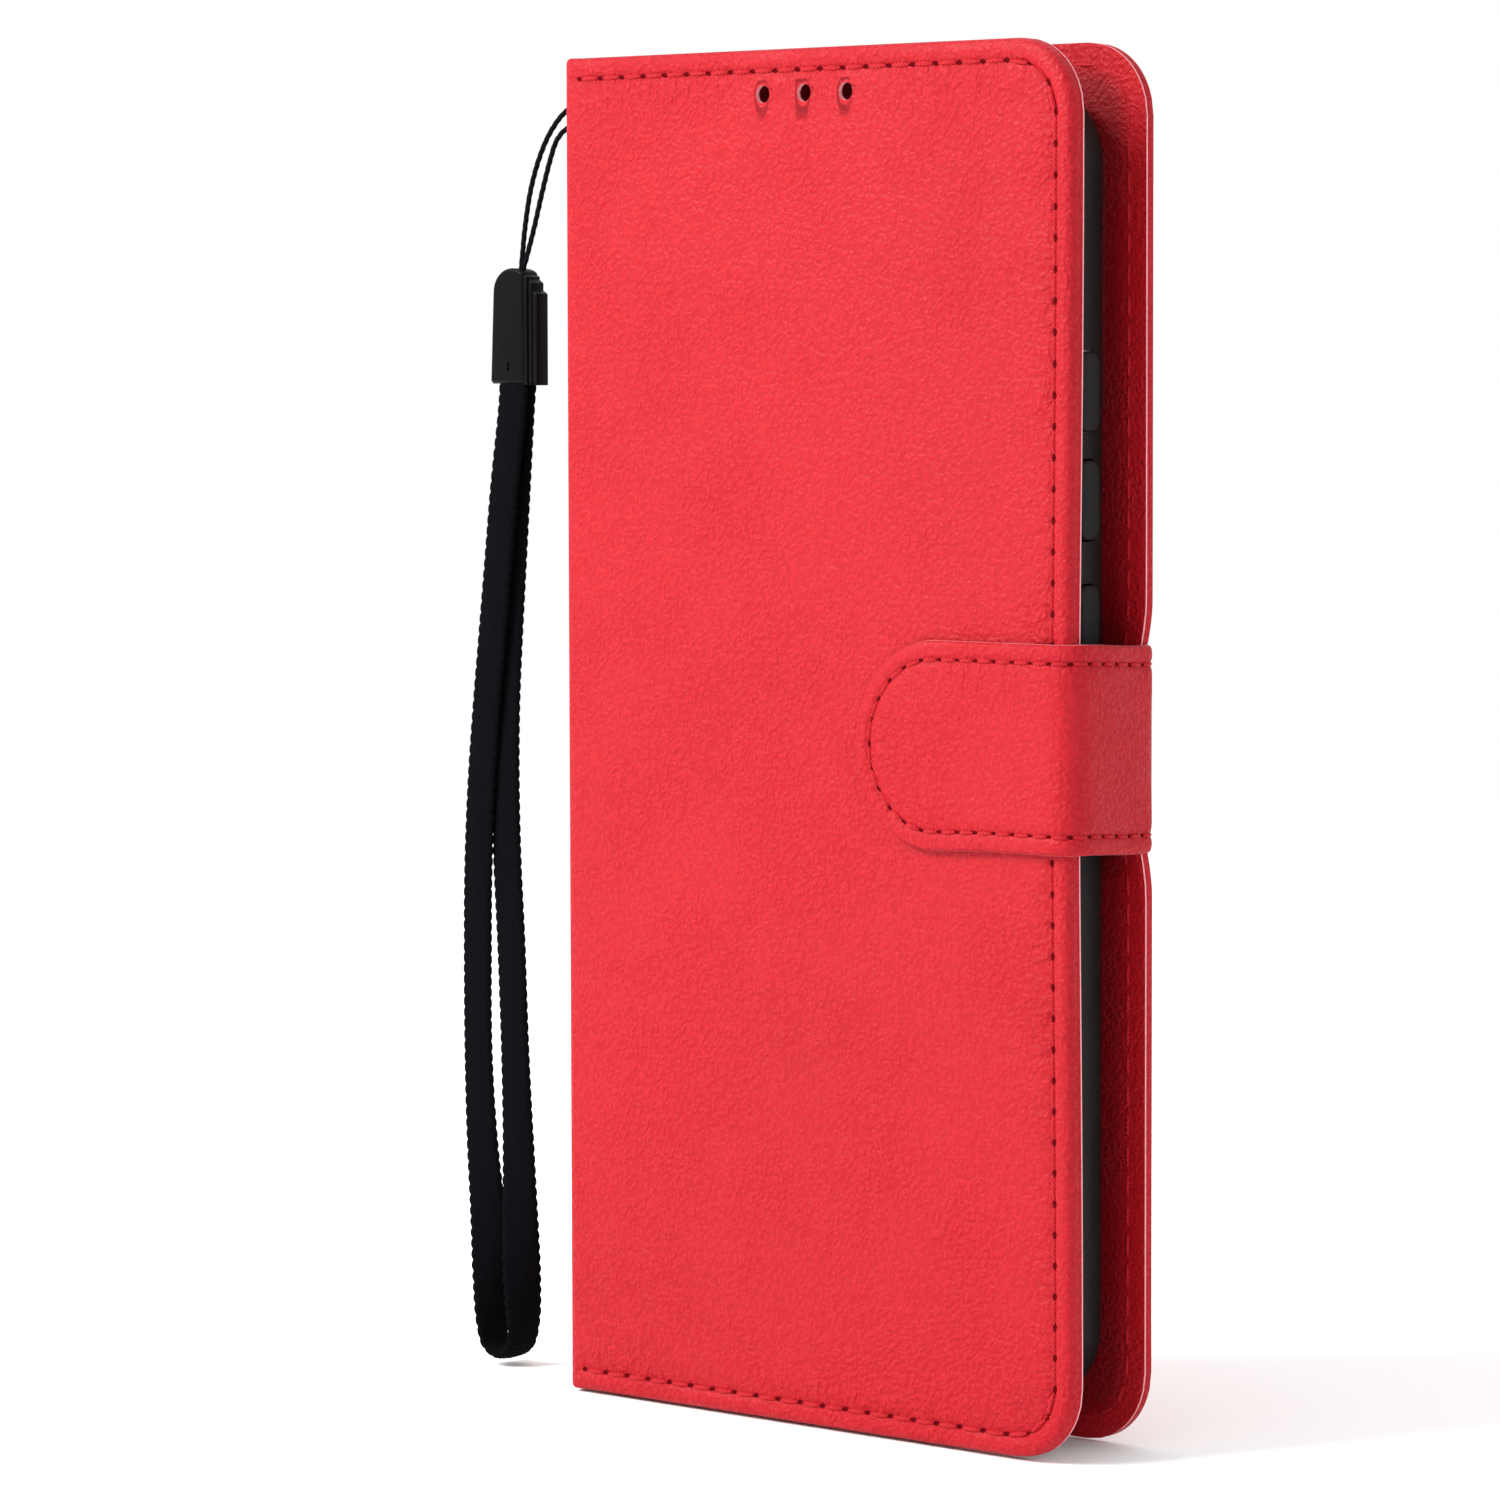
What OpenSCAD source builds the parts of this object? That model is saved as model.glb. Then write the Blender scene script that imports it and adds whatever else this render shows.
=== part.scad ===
// Book-style leather wallet case for a phone, closed and clasped, standing upright.
// X runs from the spine to the opening edge, Y from the front cover to the back cover, Z up.
// The origin is the bottom centre of the closed case, without the wrist strap.

/* [Case] */
// Height of both covers
case_h = 170; // [150:1:190]
// Width of the front cover, spine included
case_w = 83.4; // [78:0.2:100]
// Closed depth, outer face to outer face
case_d = 17.8; // [16.8:0.2:22]
// Radius of the four free corners
corner_r = 9; // [5:0.5:12]
// How far the back cover stops short of the front cover's opening edge
back_inset = 2; // [0.5:0.1:3]

/* [Leather and boards] */
// Outer leather
skin_t = 0.7; // [0.5:0.05:0.9]
// Lining on the inside of the covers and the spine
lining_t = 0.6; // [0.4:0.05:0.8]
// Stiffening board in the front cover
front_board_t = 1.1; // [0.8:0.05:1.4]
// Stiffening board in the back cover
back_board_t = 0.4; // [0.3:0.05:0.8]
// Width of the leather turned round the edge of a board
turn_w = 1.5; // [1:0.1:2]
// Clearance between pieces that move past each other
gap = 0.3; // [0.2:0.05:0.4]

/* [Stitching] */
// Distance of the cover's stitch line from its edge
stitch_inset = 2.6; // [2.2:0.1:4]
// Distance of the clasp's stitch line from its edge
clasp_stitch_inset = 2.2; // [1.6:0.1:3]
// Width of the thread
thread_w = 0.5; // [0.3:0.05:0.8]
// Depth of the thread in its groove
thread_t = 0.3; // [0.2:0.05:0.35]

/* [Speaker holes] */
// Diameter of each hole
hole_d = 2.2; // [1.6:0.1:3]
// Spacing of the three holes
hole_pitch = 6.8; // [5:0.1:9]
// Distance of the row from the top edge
hole_top = 5.5; // [5:0.1:7]
// Distance of the row's middle from the middle of the cover, towards the spine
hole_shift = 0.5; // [0:0.1:3]

/* [Pockets] */
// Leather of the cash pocket
cash_t = 0.7; // [0.4:0.05:0.8]
// Leather of each card pocket
card_t = 0.6; // [0.4:0.05:0.7]
// Width of each card pocket
card_w = 66; // [60:1:68]
// Height of the mouth of the lowest card pocket
card_mouth = 82; // [60:1:100]
// Step between the mouths of two card pockets
card_step = 17; // [10:1:20]
// Distance of the pockets from the ends of the cover
pocket_end = 12; // [10:1:16]
// Distance of the pockets from the hinge of the cover
pocket_side = 8; // [6:0.5:10]

/* [Phone shell] */
// Wall of the shell
wall_t = 1.5; // [1.2:0.1:1.8]
// Floor of the shell
floor_t = 1.2; // [1:0.1:1.6]
// Thickness of the lip over the front edge of the phone
lip_t = 1; // [0.8:0.1:1.4]
// Reach of the lip over the phone
lip_w = 1; // [0.6:0.1:1.4]
// Distance of the shell from the ends of the covers
shell_end = 5; // [4:0.5:8]
// Distance of the shell from the outside of the spine
shell_spine = 3.1; // [2.9:0.1:6]
// Distance of the shell from the opening edge of the back cover
shell_open = 4; // [3:0.1:6]
// Outer corner radius of the shell
shell_r = 9; // [7:0.5:12]
// Adhesive pad that holds the shell on the back cover
pad_t = 0.4; // [0.3:0.1:0.8]
// Distance of the adhesive pad from the edge of the shell
pad_inset = 6; // [4:0.5:12]
// Free space between the shell and the card pockets
shell_gap = 0.4; // [0.3:0.1:1]

/* [Camera opening] */
// Width of the opening
cam_w = 30; // [20:1:36]
// Height of the opening
cam_h = 38; // [24:1:44]
// Corner radius of the opening
cam_r = 6; // [3:0.5:9]
// Distance of the opening from the long edge of the shell
cam_side = 4; // [3:0.5:8]
// Distance of the opening from the top of the shell
cam_top = 5; // [4:0.5:10]

/* [Side keys] */
// Height of the middle of the volume up key
up_z = 128; // [124:0.5:132]
// Height of the middle of the volume down key
down_z = 115; // [110:0.5:118]
// Height of the middle of the power key
power_z = 100; // [95:0.5:104]
// Length of each key
key_l = 9.6; // [7:0.2:11]
// Width of each key
key_w = 3.6; // [3:0.1:5]
// Height of a key above the side of the shell
key_proud = 0.7; // [0.5:0.1:1]

/* [Phone ports] */
// Width of the charging port's opening
port_w = 12; // [9:0.5:14]
// Height of the port and loudspeaker openings
port_h = 4.6; // [4.2:0.1:5]
// Width of the loudspeaker opening
speaker_w = 11; // [6:0.5:14]
// Distance of the loudspeaker opening's middle from the port's middle
speaker_x = 19; // [15:0.5:21]
// Diameter of the microphone hole in the top
mic_d = 2; // [1:0.1:3]

/* [Clasp] */
// Height of the clasp strap
clasp_h = 25; // [18:0.5:30]
// How far the tip reaches in from the opening edge
clasp_reach = 33; // [26:0.5:40]
// Outer leather of the strap
strap_skin_t = 0.6; // [0.5:0.05:0.8]
// Lining of the strap
strap_lining_t = 0.5; // [0.4:0.05:0.7]
// Thickness of the magnet in the tip
magnet_t = 0.6; // [0.4:0.05:0.7]
// Thickness of the keeper plate in the front cover
keeper_t = 0.5; // [0.3:0.05:0.8]
// Width of the magnet and of the keeper plate
magnet_w = 9; // [6:0.5:12]
// Height of the magnet and of the keeper plate
magnet_h = 14; // [8:0.5:18]

/* [Wrist strap] */
// Diameter of the thin cord
cord_d = 0.7; // [0.5:0.1:0.9]
// Hole in the spine for the cord
cord_hole_d = 1.3; // [1.1:0.1:1.5]
// Distance of the upper cord hole from the top of the spine
cord_top = 4.5; // [3:0.5:8]
// Distance between the two cord holes
cord_pitch = 3.4; // [3:0.1:4]
// Width of the webbing
web_w = 5; // [4:0.5:6]
// Thickness of the webbing
web_t = 1.3; // [1:0.1:1.6]
// Width of the crimp cap
crimp_w = 7.6; // [7:0.1:9]
// Height of the crimp cap
crimp_h = 15; // [12:0.5:18]
// Depth of the crimp cap
crimp_d = 3; // [2.8:0.1:4]

/* [Hidden] */
$fn = 48;

front_t = skin_t + front_board_t + lining_t;
back_t = skin_t + back_board_t + lining_t;
spine_t = skin_t + lining_t;
strap_t = strap_skin_t + strap_lining_t;
pockets_t = cash_t + 3 * card_t;
back_w = case_w - back_inset;

// the spine hangs between the two covers, which turn on their own rounded edges
spine_y0 = front_t + gap - case_d;
spine_y1 = -back_t - gap;
fold_w = 3;

shell_x0 = shell_spine;
shell_x1 = back_w - shell_open;
shell_y0 = front_t + pockets_t + shell_gap - case_d;
shell_y1 = -back_t - pad_t;
shell_h = case_h - 2 * shell_end;
shell_w = shell_x1 - shell_x0;
shell_mid = (shell_y0 + lip_t + shell_y1 - floor_t) / 2;
cam_x1 = shell_x1 - cam_side;
cam_z1 = shell_end + shell_h - cam_top;

clasp_z0 = (case_h - clasp_h) / 2;
// pivots of the strap's two folds, seen from above
base_pivot = [back_w + gap + strap_t / 2 + 0.1, strap_t / 2];
tip_pivot = [case_w + gap + strap_t / 2 + 0.2, -case_d - gap - strap_t / 2];
tip_y0 = tip_pivot[1] - strap_t / 2;
tip_y1 = tip_pivot[1] + strap_t / 2;
bridge_l = norm(tip_pivot - base_pivot);
bridge_turn = atan2(tip_pivot[0] - base_pivot[0], base_pivot[1] - tip_pivot[1]);
bridge_end = strap_t / 2 + gap;
tip_end = case_w - clasp_reach;
base_end = back_w - clasp_reach;
magnet_x = tip_end + clasp_h / 2;

// bottom centre of the closed case
center_x = (tip_pivot[0] + strap_t / 2) / 2;
center_y = (tip_pivot[1] + base_pivot[1]) / 2;

// route of the thin cord, from the middle of the spine's outer face at the upper hole
CORD = [[-17.2, 0.5, -23], [-16.7, 0.4, -20], [-16.2, 0.4, -16.4], [-15.1, 0.3, -11.8],
    [-13.4, 0.2, -7.6], [-11.2, 0.1, -4.2], [-8.4, 0, -1.7], [-5, 0, -0.4], [-2, 0, 0],
    [0.4, 0, 0], [1.7, 0, -0.5], [2.2, 0, -1.7], [1.7, 0, -2.9], [0.4, 0, -3.4],
    [-2, 0, -3.4], [-5, 0, -3.3], [-7.8, 0, -3.7], [-9.8, -0.1, -5.2],
    [-11, -0.2, -7.8], [-12.4, -0.3, -12], [-13.8, -0.4, -16.6], [-15.2, -0.4, -20.4],
    [-16.2, -0.5, -23]];
// route of the webbing loop: place, and the turn of its width about the vertical
WEBBING = [[-17.2, -0.8, -36, 0], [-17.5, -0.8, -40, 0], [-18.9, -0.9, -50, 0],
    [-20.2, -0.8, -60, 0], [-21.5, -0.7, -70, 0], [-22.8, -0.6, -80, 0],
    [-23.9, -0.5, -90, 0], [-24.6, -0.4, -100, 0], [-24.9, -0.3, -110, 0],
    [-25, -0.2, -124, 0], [-24.4, -0.2, -136, 8], [-23.5, -0.1, -146, 24],
    [-23, 0, -155, 50], [-22.9, 0, -160.4, 78], [-22.2, 0, -163.3, 88],
    [-20, 0, -164.4, 90], [-17.8, 0, -163.3, 88], [-17.1, 0, -160.4, 78],
    [-17.3, 0, -155, 50], [-17.7, 0.1, -146, 24],
    [-18.1, 0.2, -136, 8], [-18.6, 0.2, -124, 0], [-19.3, 0.3, -110, 0],
    [-20, 0.4, -100, 0], [-20.4, 0.5, -90, 0], [-20.4, 0.6, -80, 0],
    [-19.9, 0.7, -70, 0], [-19.2, 0.8, -60, 0], [-18.5, 0.9, -50, 0],
    [-17.6, 0.8, -40, 0], [-17.2, 0.8, -36, 0]];
crimp_x = -16.8;
crimp_z = -36.7;
crimp_rib = 0.9;

// ---- shared shapes ----

module at_origin() {
    translate([-center_x, -center_y, 0]) children();
}

// a flat outline in X and Z, as thick as t, from y towards the front
module slab(y, t) {
    translate([0, y, 0]) rotate([90, 0, 0]) linear_extrude(t) children();
}

module rounded_square(x0, x1, z0, z1, r) {
    translate([x0 + r, z0]) square([x1 - x0 - 2 * r, z1 - z0]);
    translate([x0, z0 + r]) square([x1 - x0, z1 - z0 - 2 * r]);
    for (x = [x0 + r, x1 - r], z = [z0 + r, z1 - r]) translate([x, z]) circle(r);
}

// a cover seen from the front: square at the hinge, round at the two free corners
module cover_outline(x0, w, inset) {
    r = corner_r - inset;
    translate([x0, inset]) square([w - inset - r - x0, case_h - 2 * inset]);
    translate([x0, inset + r]) square([w - inset - x0, case_h - 2 * inset - 2 * r]);
    for (z = [inset + r, case_h - inset - r]) translate([w - inset - r, z]) circle(r);
}

// leather of a cover with its outer face at y = 0 and the inside towards -Y:
// outer leaf, edge turned round the board, and a rounded fold at the hinge
module cover_leather(w, t) {
    translate([t / 2, -t / 2, 0]) cylinder(d = t, h = case_h);
    slab(0, t) translate([t / 2, 0]) square([fold_w - t / 2, case_h]);
    difference() {
        slab(0, t - lining_t) cover_outline(fold_w, w, 0);
        slab(-skin_t, t) cover_outline(fold_w, w, turn_w);
    }
}

module stitch_outline(w) {
    difference() {
        cover_outline(fold_w + 1, w, stitch_inset - thread_w / 2);
        cover_outline(fold_w, w, stitch_inset + thread_w / 2);
    }
}

module speaker_holes() {
    for (k = [-1, 0, 1])
        translate([case_w / 2 - hole_shift + k * hole_pitch, 0, case_h - hole_top])
            rotate([90, 0, 0]) cylinder(d = hole_d, h = 3 * case_d, center = true);
}

module camera_hole() {
    slab(case_d, 3 * case_d)
        rounded_square(cam_x1 - cam_w, cam_x1, cam_z1 - cam_h, cam_z1, cam_r);
}

// strap outline with one round end, seen from the front
module strap_outline(x_round, x_square, inset) {
    r = clasp_h / 2 - inset;
    translate([x_round + clasp_h / 2, clasp_z0 + inset])
        square([x_square - x_round - clasp_h / 2, 2 * r]);
    translate([x_round + clasp_h / 2, case_h / 2]) circle(r);
}

module strap_thread(x_round, x_square) {
    difference() {
        strap_outline(x_round, x_square, clasp_stitch_inset - thread_w / 2);
        strap_outline(x_round, x_square + 1, clasp_stitch_inset + thread_w / 2);
    }
}

// ---- sweeping a cord ----

function mix(a, b, c, d, u) = 0.5 * (2 * b + (c - a) * u
    + (2 * a - 5 * b + 4 * c - d) * u * u + (3 * b - a - 3 * c + d) * u * u * u);
function at(route, i) = route[max(0, min(len(route) - 1, i))];
function smooth(route, parts) = [for (i = [0 : len(route) - 2], k = [0 : parts - 1])
    mix(at(route, i - 1), at(route, i), at(route, i + 1), at(route, i + 2), k / parts),
    route[len(route) - 1]];
function place(p) = [p[0], p[1], p[2]];
function unit(v) = v / norm(v);
function heading(route, i) = unit(place(at(route, i + 1)) - place(at(route, i - 1)));
function across(t, way) = unit(way - (way * t) * t);
function ring(p, t, way, w, h) = let (u = across(t, way), v = cross(t, u))
    [for (a = [0 : 45 : 315]) place(p) + u * cos(a) * w / 2 + v * sin(a) * h / 2];

module swept(rings) {
    n = len(rings);
    polyhedron([for (r = rings, p = r) p], concat(
        [[for (k = [7 : -1 : 0]) k], [for (k = [0 : 7]) (n - 1) * 8 + k]],
        [for (i = [0 : n - 2], k = [0 : 7], side = [0, 1])
            let (a = i * 8 + k, b = i * 8 + (k + 1) % 8)
                side == 0 ? [a, b, b + 8] : [a, b + 8, a + 8]]));
}

module at_cord_holes() {
    at_origin() translate([0, (spine_y0 + spine_y1) / 2, case_h - cord_top]) children();
}

module cord_holes() {
    for (z = [0, cord_pitch])
        translate([0, (spine_y0 + spine_y1) / 2, case_h - cord_top - z])
            rotate([0, 90, 0]) cylinder(d = cord_hole_d, h = 4 * spine_t, center = true);
}

// ---- back cover ----

module back_skin() {
    color("crimson") at_origin() difference() {
        cover_leather(back_w, back_t);
        camera_hole();
        slab(0, thread_t) stitch_outline(back_w);
    }
}

module back_board() {
    color("tan") at_origin() difference() {
        slab(-skin_t, back_board_t) cover_outline(fold_w, back_w, turn_w);
        camera_hole();
    }
}

module back_lining() {
    color("firebrick") at_origin() difference() {
        slab(lining_t - back_t, lining_t) cover_outline(fold_w, back_w, 0);
        camera_hole();
    }
}

module back_stitching() {
    color("darkred") at_origin() slab(0, thread_t) stitch_outline(back_w);
}

// ---- spine ----

module spine_skin() {
    color("crimson") at_origin() difference() {
        translate([0, spine_y0, 0]) cube([skin_t, spine_y1 - spine_y0, case_h]);
        cord_holes();
    }
}

module spine_lining() {
    color("firebrick") at_origin() difference() {
        translate([skin_t, spine_y0, 0]) cube([lining_t, spine_y1 - spine_y0, case_h]);
        cord_holes();
    }
}

// ---- front cover ----

module front_skin() {
    color("crimson") at_origin() difference() {
        translate([0, -case_d, 0]) mirror([0, 1, 0]) cover_leather(case_w, front_t);
        slab(thread_t - case_d, thread_t) stitch_outline(case_w);
        speaker_holes();
    }
}

module front_board() {
    color("tan") at_origin() difference() {
        slab(front_t - lining_t - case_d, front_board_t) cover_outline(fold_w, case_w, turn_w);
        keeper();
        speaker_holes();
    }
}

module front_lining() {
    color("firebrick") at_origin() difference() {
        slab(front_t - case_d, lining_t) cover_outline(fold_w, case_w, 0);
        speaker_holes();
    }
}

module front_stitching() {
    color("darkred") at_origin() slab(thread_t - case_d, thread_t) stitch_outline(case_w);
}

module keeper() {
    translate([magnet_x - magnet_w / 2, skin_t - case_d, (case_h - magnet_h) / 2])
        cube([magnet_w, keeper_t, magnet_h]);
}

module keeper_plate() {
    color("silver") at_origin() keeper();
}

module cash_pocket() {
    color("crimson") at_origin() slab(front_t + cash_t - case_d, cash_t)
        rounded_square(pocket_side, case_w - stitch_inset, pocket_end, case_h - pocket_end, 4);
}

// card pockets lie on the cash pocket, the lowest one on top
module card_pocket(level) {
    x1 = case_w - stitch_inset - 2;
    slab(front_t + cash_t + (3 - level) * card_t - case_d, card_t)
        rounded_square(x1 - card_w, x1, pocket_end, card_mouth + level * card_step, 3);
}

module card_pocket_low() {
    color("crimson") at_origin() card_pocket(0);
}

module card_pocket_middle() {
    color("crimson") at_origin() card_pocket(1);
}

module card_pocket_high() {
    color("crimson") at_origin() card_pocket(2);
}

// ---- phone shell and its keys ----

module adhesive_pad() {
    color("gainsboro") at_origin() difference() {
        slab(-back_t, pad_t) rounded_square(shell_x0 + pad_inset, shell_x1 - pad_inset,
            shell_end + pad_inset, shell_end + shell_h - pad_inset, 4);
        camera_cut(2);
    }
}

// camera opening, wider by more on each side
module camera_cut(more) {
    slab(case_d, 3 * case_d) rounded_square(cam_x1 - cam_w - more, cam_x1 + more,
        cam_z1 - cam_h - more, cam_z1 + more, cam_r + more);
}

// outline of the shell, taken in by inset
module shell_outline(inset) {
    rounded_square(shell_x0 + inset, shell_x1 - inset, shell_end + inset,
        shell_end + shell_h - inset, shell_r - inset);
}

// a key's rounded outline, wider by more on each side, through the shell's side wall
module key_shape(z, more, x0, x1) {
    r = key_w / 2 + more;
    for (dz = [r - key_l / 2 - more, key_l / 2 + more - r])
        translate([x0, shell_mid, z + dz]) rotate([0, 90, 0]) cylinder(r = r, h = x1 - x0);
    translate([x0, shell_mid - r, z - key_l / 2 - more + r])
        cube([x1 - x0, 2 * r, key_l + 2 * more - 2 * r]);
}

// rounded slot through an end wall
module end_slot(x, w, z) {
    for (dx = [port_h / 2 - w / 2, w / 2 - port_h / 2])
        translate([x + dx, shell_mid, z]) cylinder(d = port_h, h = 3 * wall_t, center = true);
    translate([x, shell_mid, z]) cube([w - port_h, port_h, 3 * wall_t], center = true);
}

module phone_shell() {
    mid_x = (shell_x0 + shell_x1) / 2;
    color("dimgray") at_origin() difference() {
        slab(shell_y1, shell_y1 - shell_y0) shell_outline(0);
        slab(shell_y1 - floor_t, shell_y1 - floor_t - shell_y0 - lip_t) shell_outline(wall_t);
        slab(shell_y0 + 2 * lip_t, 4 * lip_t) shell_outline(wall_t + lip_w);
        camera_hole();
        for (z = [up_z, down_z, power_z])
            key_shape(z, gap, shell_x1 - 2 * wall_t, shell_x1 + wall_t);
        end_slot(mid_x, port_w, shell_end);
        end_slot(mid_x + speaker_x, speaker_w, shell_end);
        translate([mid_x - speaker_x, shell_mid, shell_end + shell_h])
            cylinder(d = mic_d, h = 3 * wall_t, center = true);
    }
}

module side_key(z) {
    color("black") at_origin() key_shape(z, 0, shell_x1 - wall_t + 0.1, shell_x1 + key_proud);
}

module volume_up_key() {
    side_key(up_z);
}

module volume_down_key() {
    side_key(down_z);
}

module power_key() {
    side_key(power_z);
}

// ---- clasp ----

// rounded fold that the strap turns on
module strap_fold(pivot) {
    translate([pivot[0], pivot[1], clasp_z0]) cylinder(d = strap_t, h = clasp_h);
}

module clasp_base_skin() {
    color("crimson") at_origin() difference() {
        union() {
            slab(strap_t, strap_skin_t) strap_outline(base_end, base_pivot[0], 0);
            strap_fold(base_pivot);
        }
        slab(strap_lining_t, strap_t) strap_outline(base_end, base_pivot[0] - strap_t / 2, -1);
        slab(strap_t, thread_t) strap_thread(base_end, base_pivot[0] - strap_t);
    }
}

module clasp_base_lining() {
    color("firebrick") at_origin()
        slab(strap_lining_t, strap_lining_t) strap_outline(base_end, base_pivot[0] - strap_t / 2, 0);
}

module clasp_base_stitching() {
    color("darkred") at_origin()
        slab(strap_t, thread_t) strap_thread(base_end, base_pivot[0] - strap_t);
}

// the strap between its two folds; across is measured outwards from its inner face
module bridge_layer(across, t) {
    translate([base_pivot[0], base_pivot[1], clasp_z0]) rotate([0, 0, bridge_turn])
        translate([across - strap_t / 2, bridge_end - bridge_l, 0])
            cube([t, bridge_l - 2 * bridge_end, clasp_h]);
}

module clasp_bridge_skin() {
    color("crimson") at_origin() bridge_layer(strap_lining_t, strap_skin_t);
}

module clasp_bridge_lining() {
    color("firebrick") at_origin() bridge_layer(0, strap_lining_t);
}

module clasp_tip_skin() {
    color("crimson") at_origin() difference() {
        union() {
            slab(tip_y0 + strap_skin_t, strap_skin_t) strap_outline(tip_end, tip_pivot[0], 0);
            strap_fold(tip_pivot);
        }
        slab(tip_y1 + strap_t, strap_lining_t + strap_t)
            strap_outline(tip_end, tip_pivot[0] - strap_t / 2, -1);
        magnet();
        slab(tip_y0 + thread_t, thread_t) strap_thread(tip_end, tip_pivot[0] - strap_t);
    }
}

module clasp_tip_lining() {
    color("firebrick") at_origin() difference() {
        slab(tip_y1, strap_lining_t) strap_outline(tip_end, tip_pivot[0] - strap_t / 2, 0);
        magnet();
    }
}

module clasp_tip_stitching() {
    color("darkred") at_origin()
        slab(tip_y0 + thread_t, thread_t) strap_thread(tip_end, tip_pivot[0] - strap_t);
}

// the magnet lies half in the tip's leather and half in its lining
module magnet() {
    translate([magnet_x - magnet_w / 2, tip_y1 - strap_lining_t - magnet_t / 2,
        (case_h - magnet_h) / 2]) cube([magnet_w, magnet_t, magnet_h]);
}

module clasp_magnet() {
    color("silver") at_origin() magnet();
}

// ---- wrist strap ----

module lanyard_cord() {
    route = smooth(CORD, 2);
    color("black") at_cord_holes()
        swept([for (i = [0 : len(route) - 1]) ring(route[i], heading(route, i), [0, 1, 0], cord_d, cord_d)]);
}

module lanyard_webbing() {
    color("black") at_cord_holes() swept([for (i = [0 : len(WEBBING) - 1])
        let (p = WEBBING[i]) ring(p, heading(WEBBING, i), [cos(p[3]), sin(p[3]), 0], web_w, web_t)]);
}

// crimp cap: a domed front plate, and a back plate that shows as a rib at its side
module lanyard_crimp() {
    color("black") at_cord_holes() {
        crimp_plate(0, crimp_h, crimp_d / 6, crimp_d * 2 / 3);
        crimp_plate(crimp_rib, crimp_h - crimp_rib, crimp_d / 2, crimp_d / 2);
    }
}

module crimp_plate(x, h, y, t) {
    w = crimp_w - crimp_rib;
    slab(y, t) translate([crimp_x - crimp_w / 2 + x, crimp_z]) {
        square([w, h - w / 2]);
        translate([w / 2, h - w / 2]) circle(w / 2);
    }
}

back_skin();
back_board();
back_lining();
back_stitching();
spine_skin();
spine_lining();
front_skin();
front_board();
front_lining();
front_stitching();
cash_pocket();
card_pocket_low();
card_pocket_middle();
card_pocket_high();
keeper_plate();
adhesive_pad();
phone_shell();
volume_up_key();
volume_down_key();
power_key();
clasp_base_skin();
clasp_base_lining();
clasp_base_stitching();
clasp_bridge_skin();
clasp_bridge_lining();
clasp_tip_skin();
clasp_tip_lining();
clasp_tip_stitching();
clasp_magnet();
lanyard_cord();
lanyard_crimp();
lanyard_webbing();
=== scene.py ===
# %% [markdown]
# # A leather wallet case for a phone
# The case is closed and stands on its end. Two covers of red leather are joined by a spine, a clasp
# strap wraps round the opening edge, a soft black shell waits inside for the phone, and a wrist strap
# hangs from two small holes in the spine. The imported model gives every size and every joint. This
# script makes the leather, the stitching, the moulded shell and the woven strap around it.

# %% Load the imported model
import math
import bpy
import bmesh
import numpy as np
from mathutils import Matrix, Vector


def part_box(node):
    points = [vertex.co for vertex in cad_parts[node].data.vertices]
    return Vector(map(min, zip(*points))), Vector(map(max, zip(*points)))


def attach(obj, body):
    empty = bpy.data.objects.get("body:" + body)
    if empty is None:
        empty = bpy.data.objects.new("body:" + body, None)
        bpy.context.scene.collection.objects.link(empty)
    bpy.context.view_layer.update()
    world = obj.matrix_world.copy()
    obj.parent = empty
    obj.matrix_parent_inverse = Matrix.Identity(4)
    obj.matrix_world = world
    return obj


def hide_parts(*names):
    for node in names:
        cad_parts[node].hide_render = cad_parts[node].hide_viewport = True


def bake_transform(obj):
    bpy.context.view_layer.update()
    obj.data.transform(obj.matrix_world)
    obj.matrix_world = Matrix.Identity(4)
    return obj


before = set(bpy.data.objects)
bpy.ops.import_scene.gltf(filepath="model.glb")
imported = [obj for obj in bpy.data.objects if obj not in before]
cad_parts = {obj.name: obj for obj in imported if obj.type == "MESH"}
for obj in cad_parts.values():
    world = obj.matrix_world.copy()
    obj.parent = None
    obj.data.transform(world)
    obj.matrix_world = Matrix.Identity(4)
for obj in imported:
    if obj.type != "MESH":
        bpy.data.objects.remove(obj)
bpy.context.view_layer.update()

# %% [markdown]
# Lengths are easier to think about in millimetres, measured from the corner where the back cover
# meets the spine: x towards the opening edge, y towards the back, z up. One function turns such
# places into the metres of the model.

# %% Places on the case, in millimetres
MM = 0.001
front_box, back_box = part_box("front_skin"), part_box("back_skin")
tip_box, base_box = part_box("clasp_tip_skin"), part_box("clasp_base_skin")
shell_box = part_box("phone_shell")
corner = np.array([front_box[0][0], back_box[1][1], front_box[0][2]])


def metres(points):
    """Places in case millimetres as places in the model."""
    return np.asarray(points, float) * MM + corner


def case_mm(place):
    """A place in the model as case millimetres."""
    return (np.asarray(place, float) - corner) / MM


front_low, front_high = case_mm(front_box[0]), case_mm(front_box[1])
back_low, back_high = case_mm(back_box[0]), case_mm(back_box[1])
width, height, depth = front_high[0], front_high[2], -front_low[1]
back_width = back_high[0]
front_thick, back_thick = front_high[1] + depth, -back_low[1]
clasp_low, clasp_high = case_mm(tip_box[0]), case_mm(tip_box[1])
base_low, base_high = case_mm(base_box[0]), case_mm(base_box[1])
clasp_middle, clasp_height = (clasp_low[2] + clasp_high[2]) / 2, clasp_high[2] - clasp_low[2]
shell_low, shell_high = case_mm(shell_box[0]), case_mm(shell_box[1])
print(f"covers {width:.1f} by {height:.1f} mm, {depth:.1f} mm deep; back cover {back_width:.1f} mm wide")

# %% [markdown]
# The camera stands to the right of the case and a little above its middle, far away behind a long
# lens, so the edges hardly converge. It is placed by its direction, its distance and where it aims.

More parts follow.
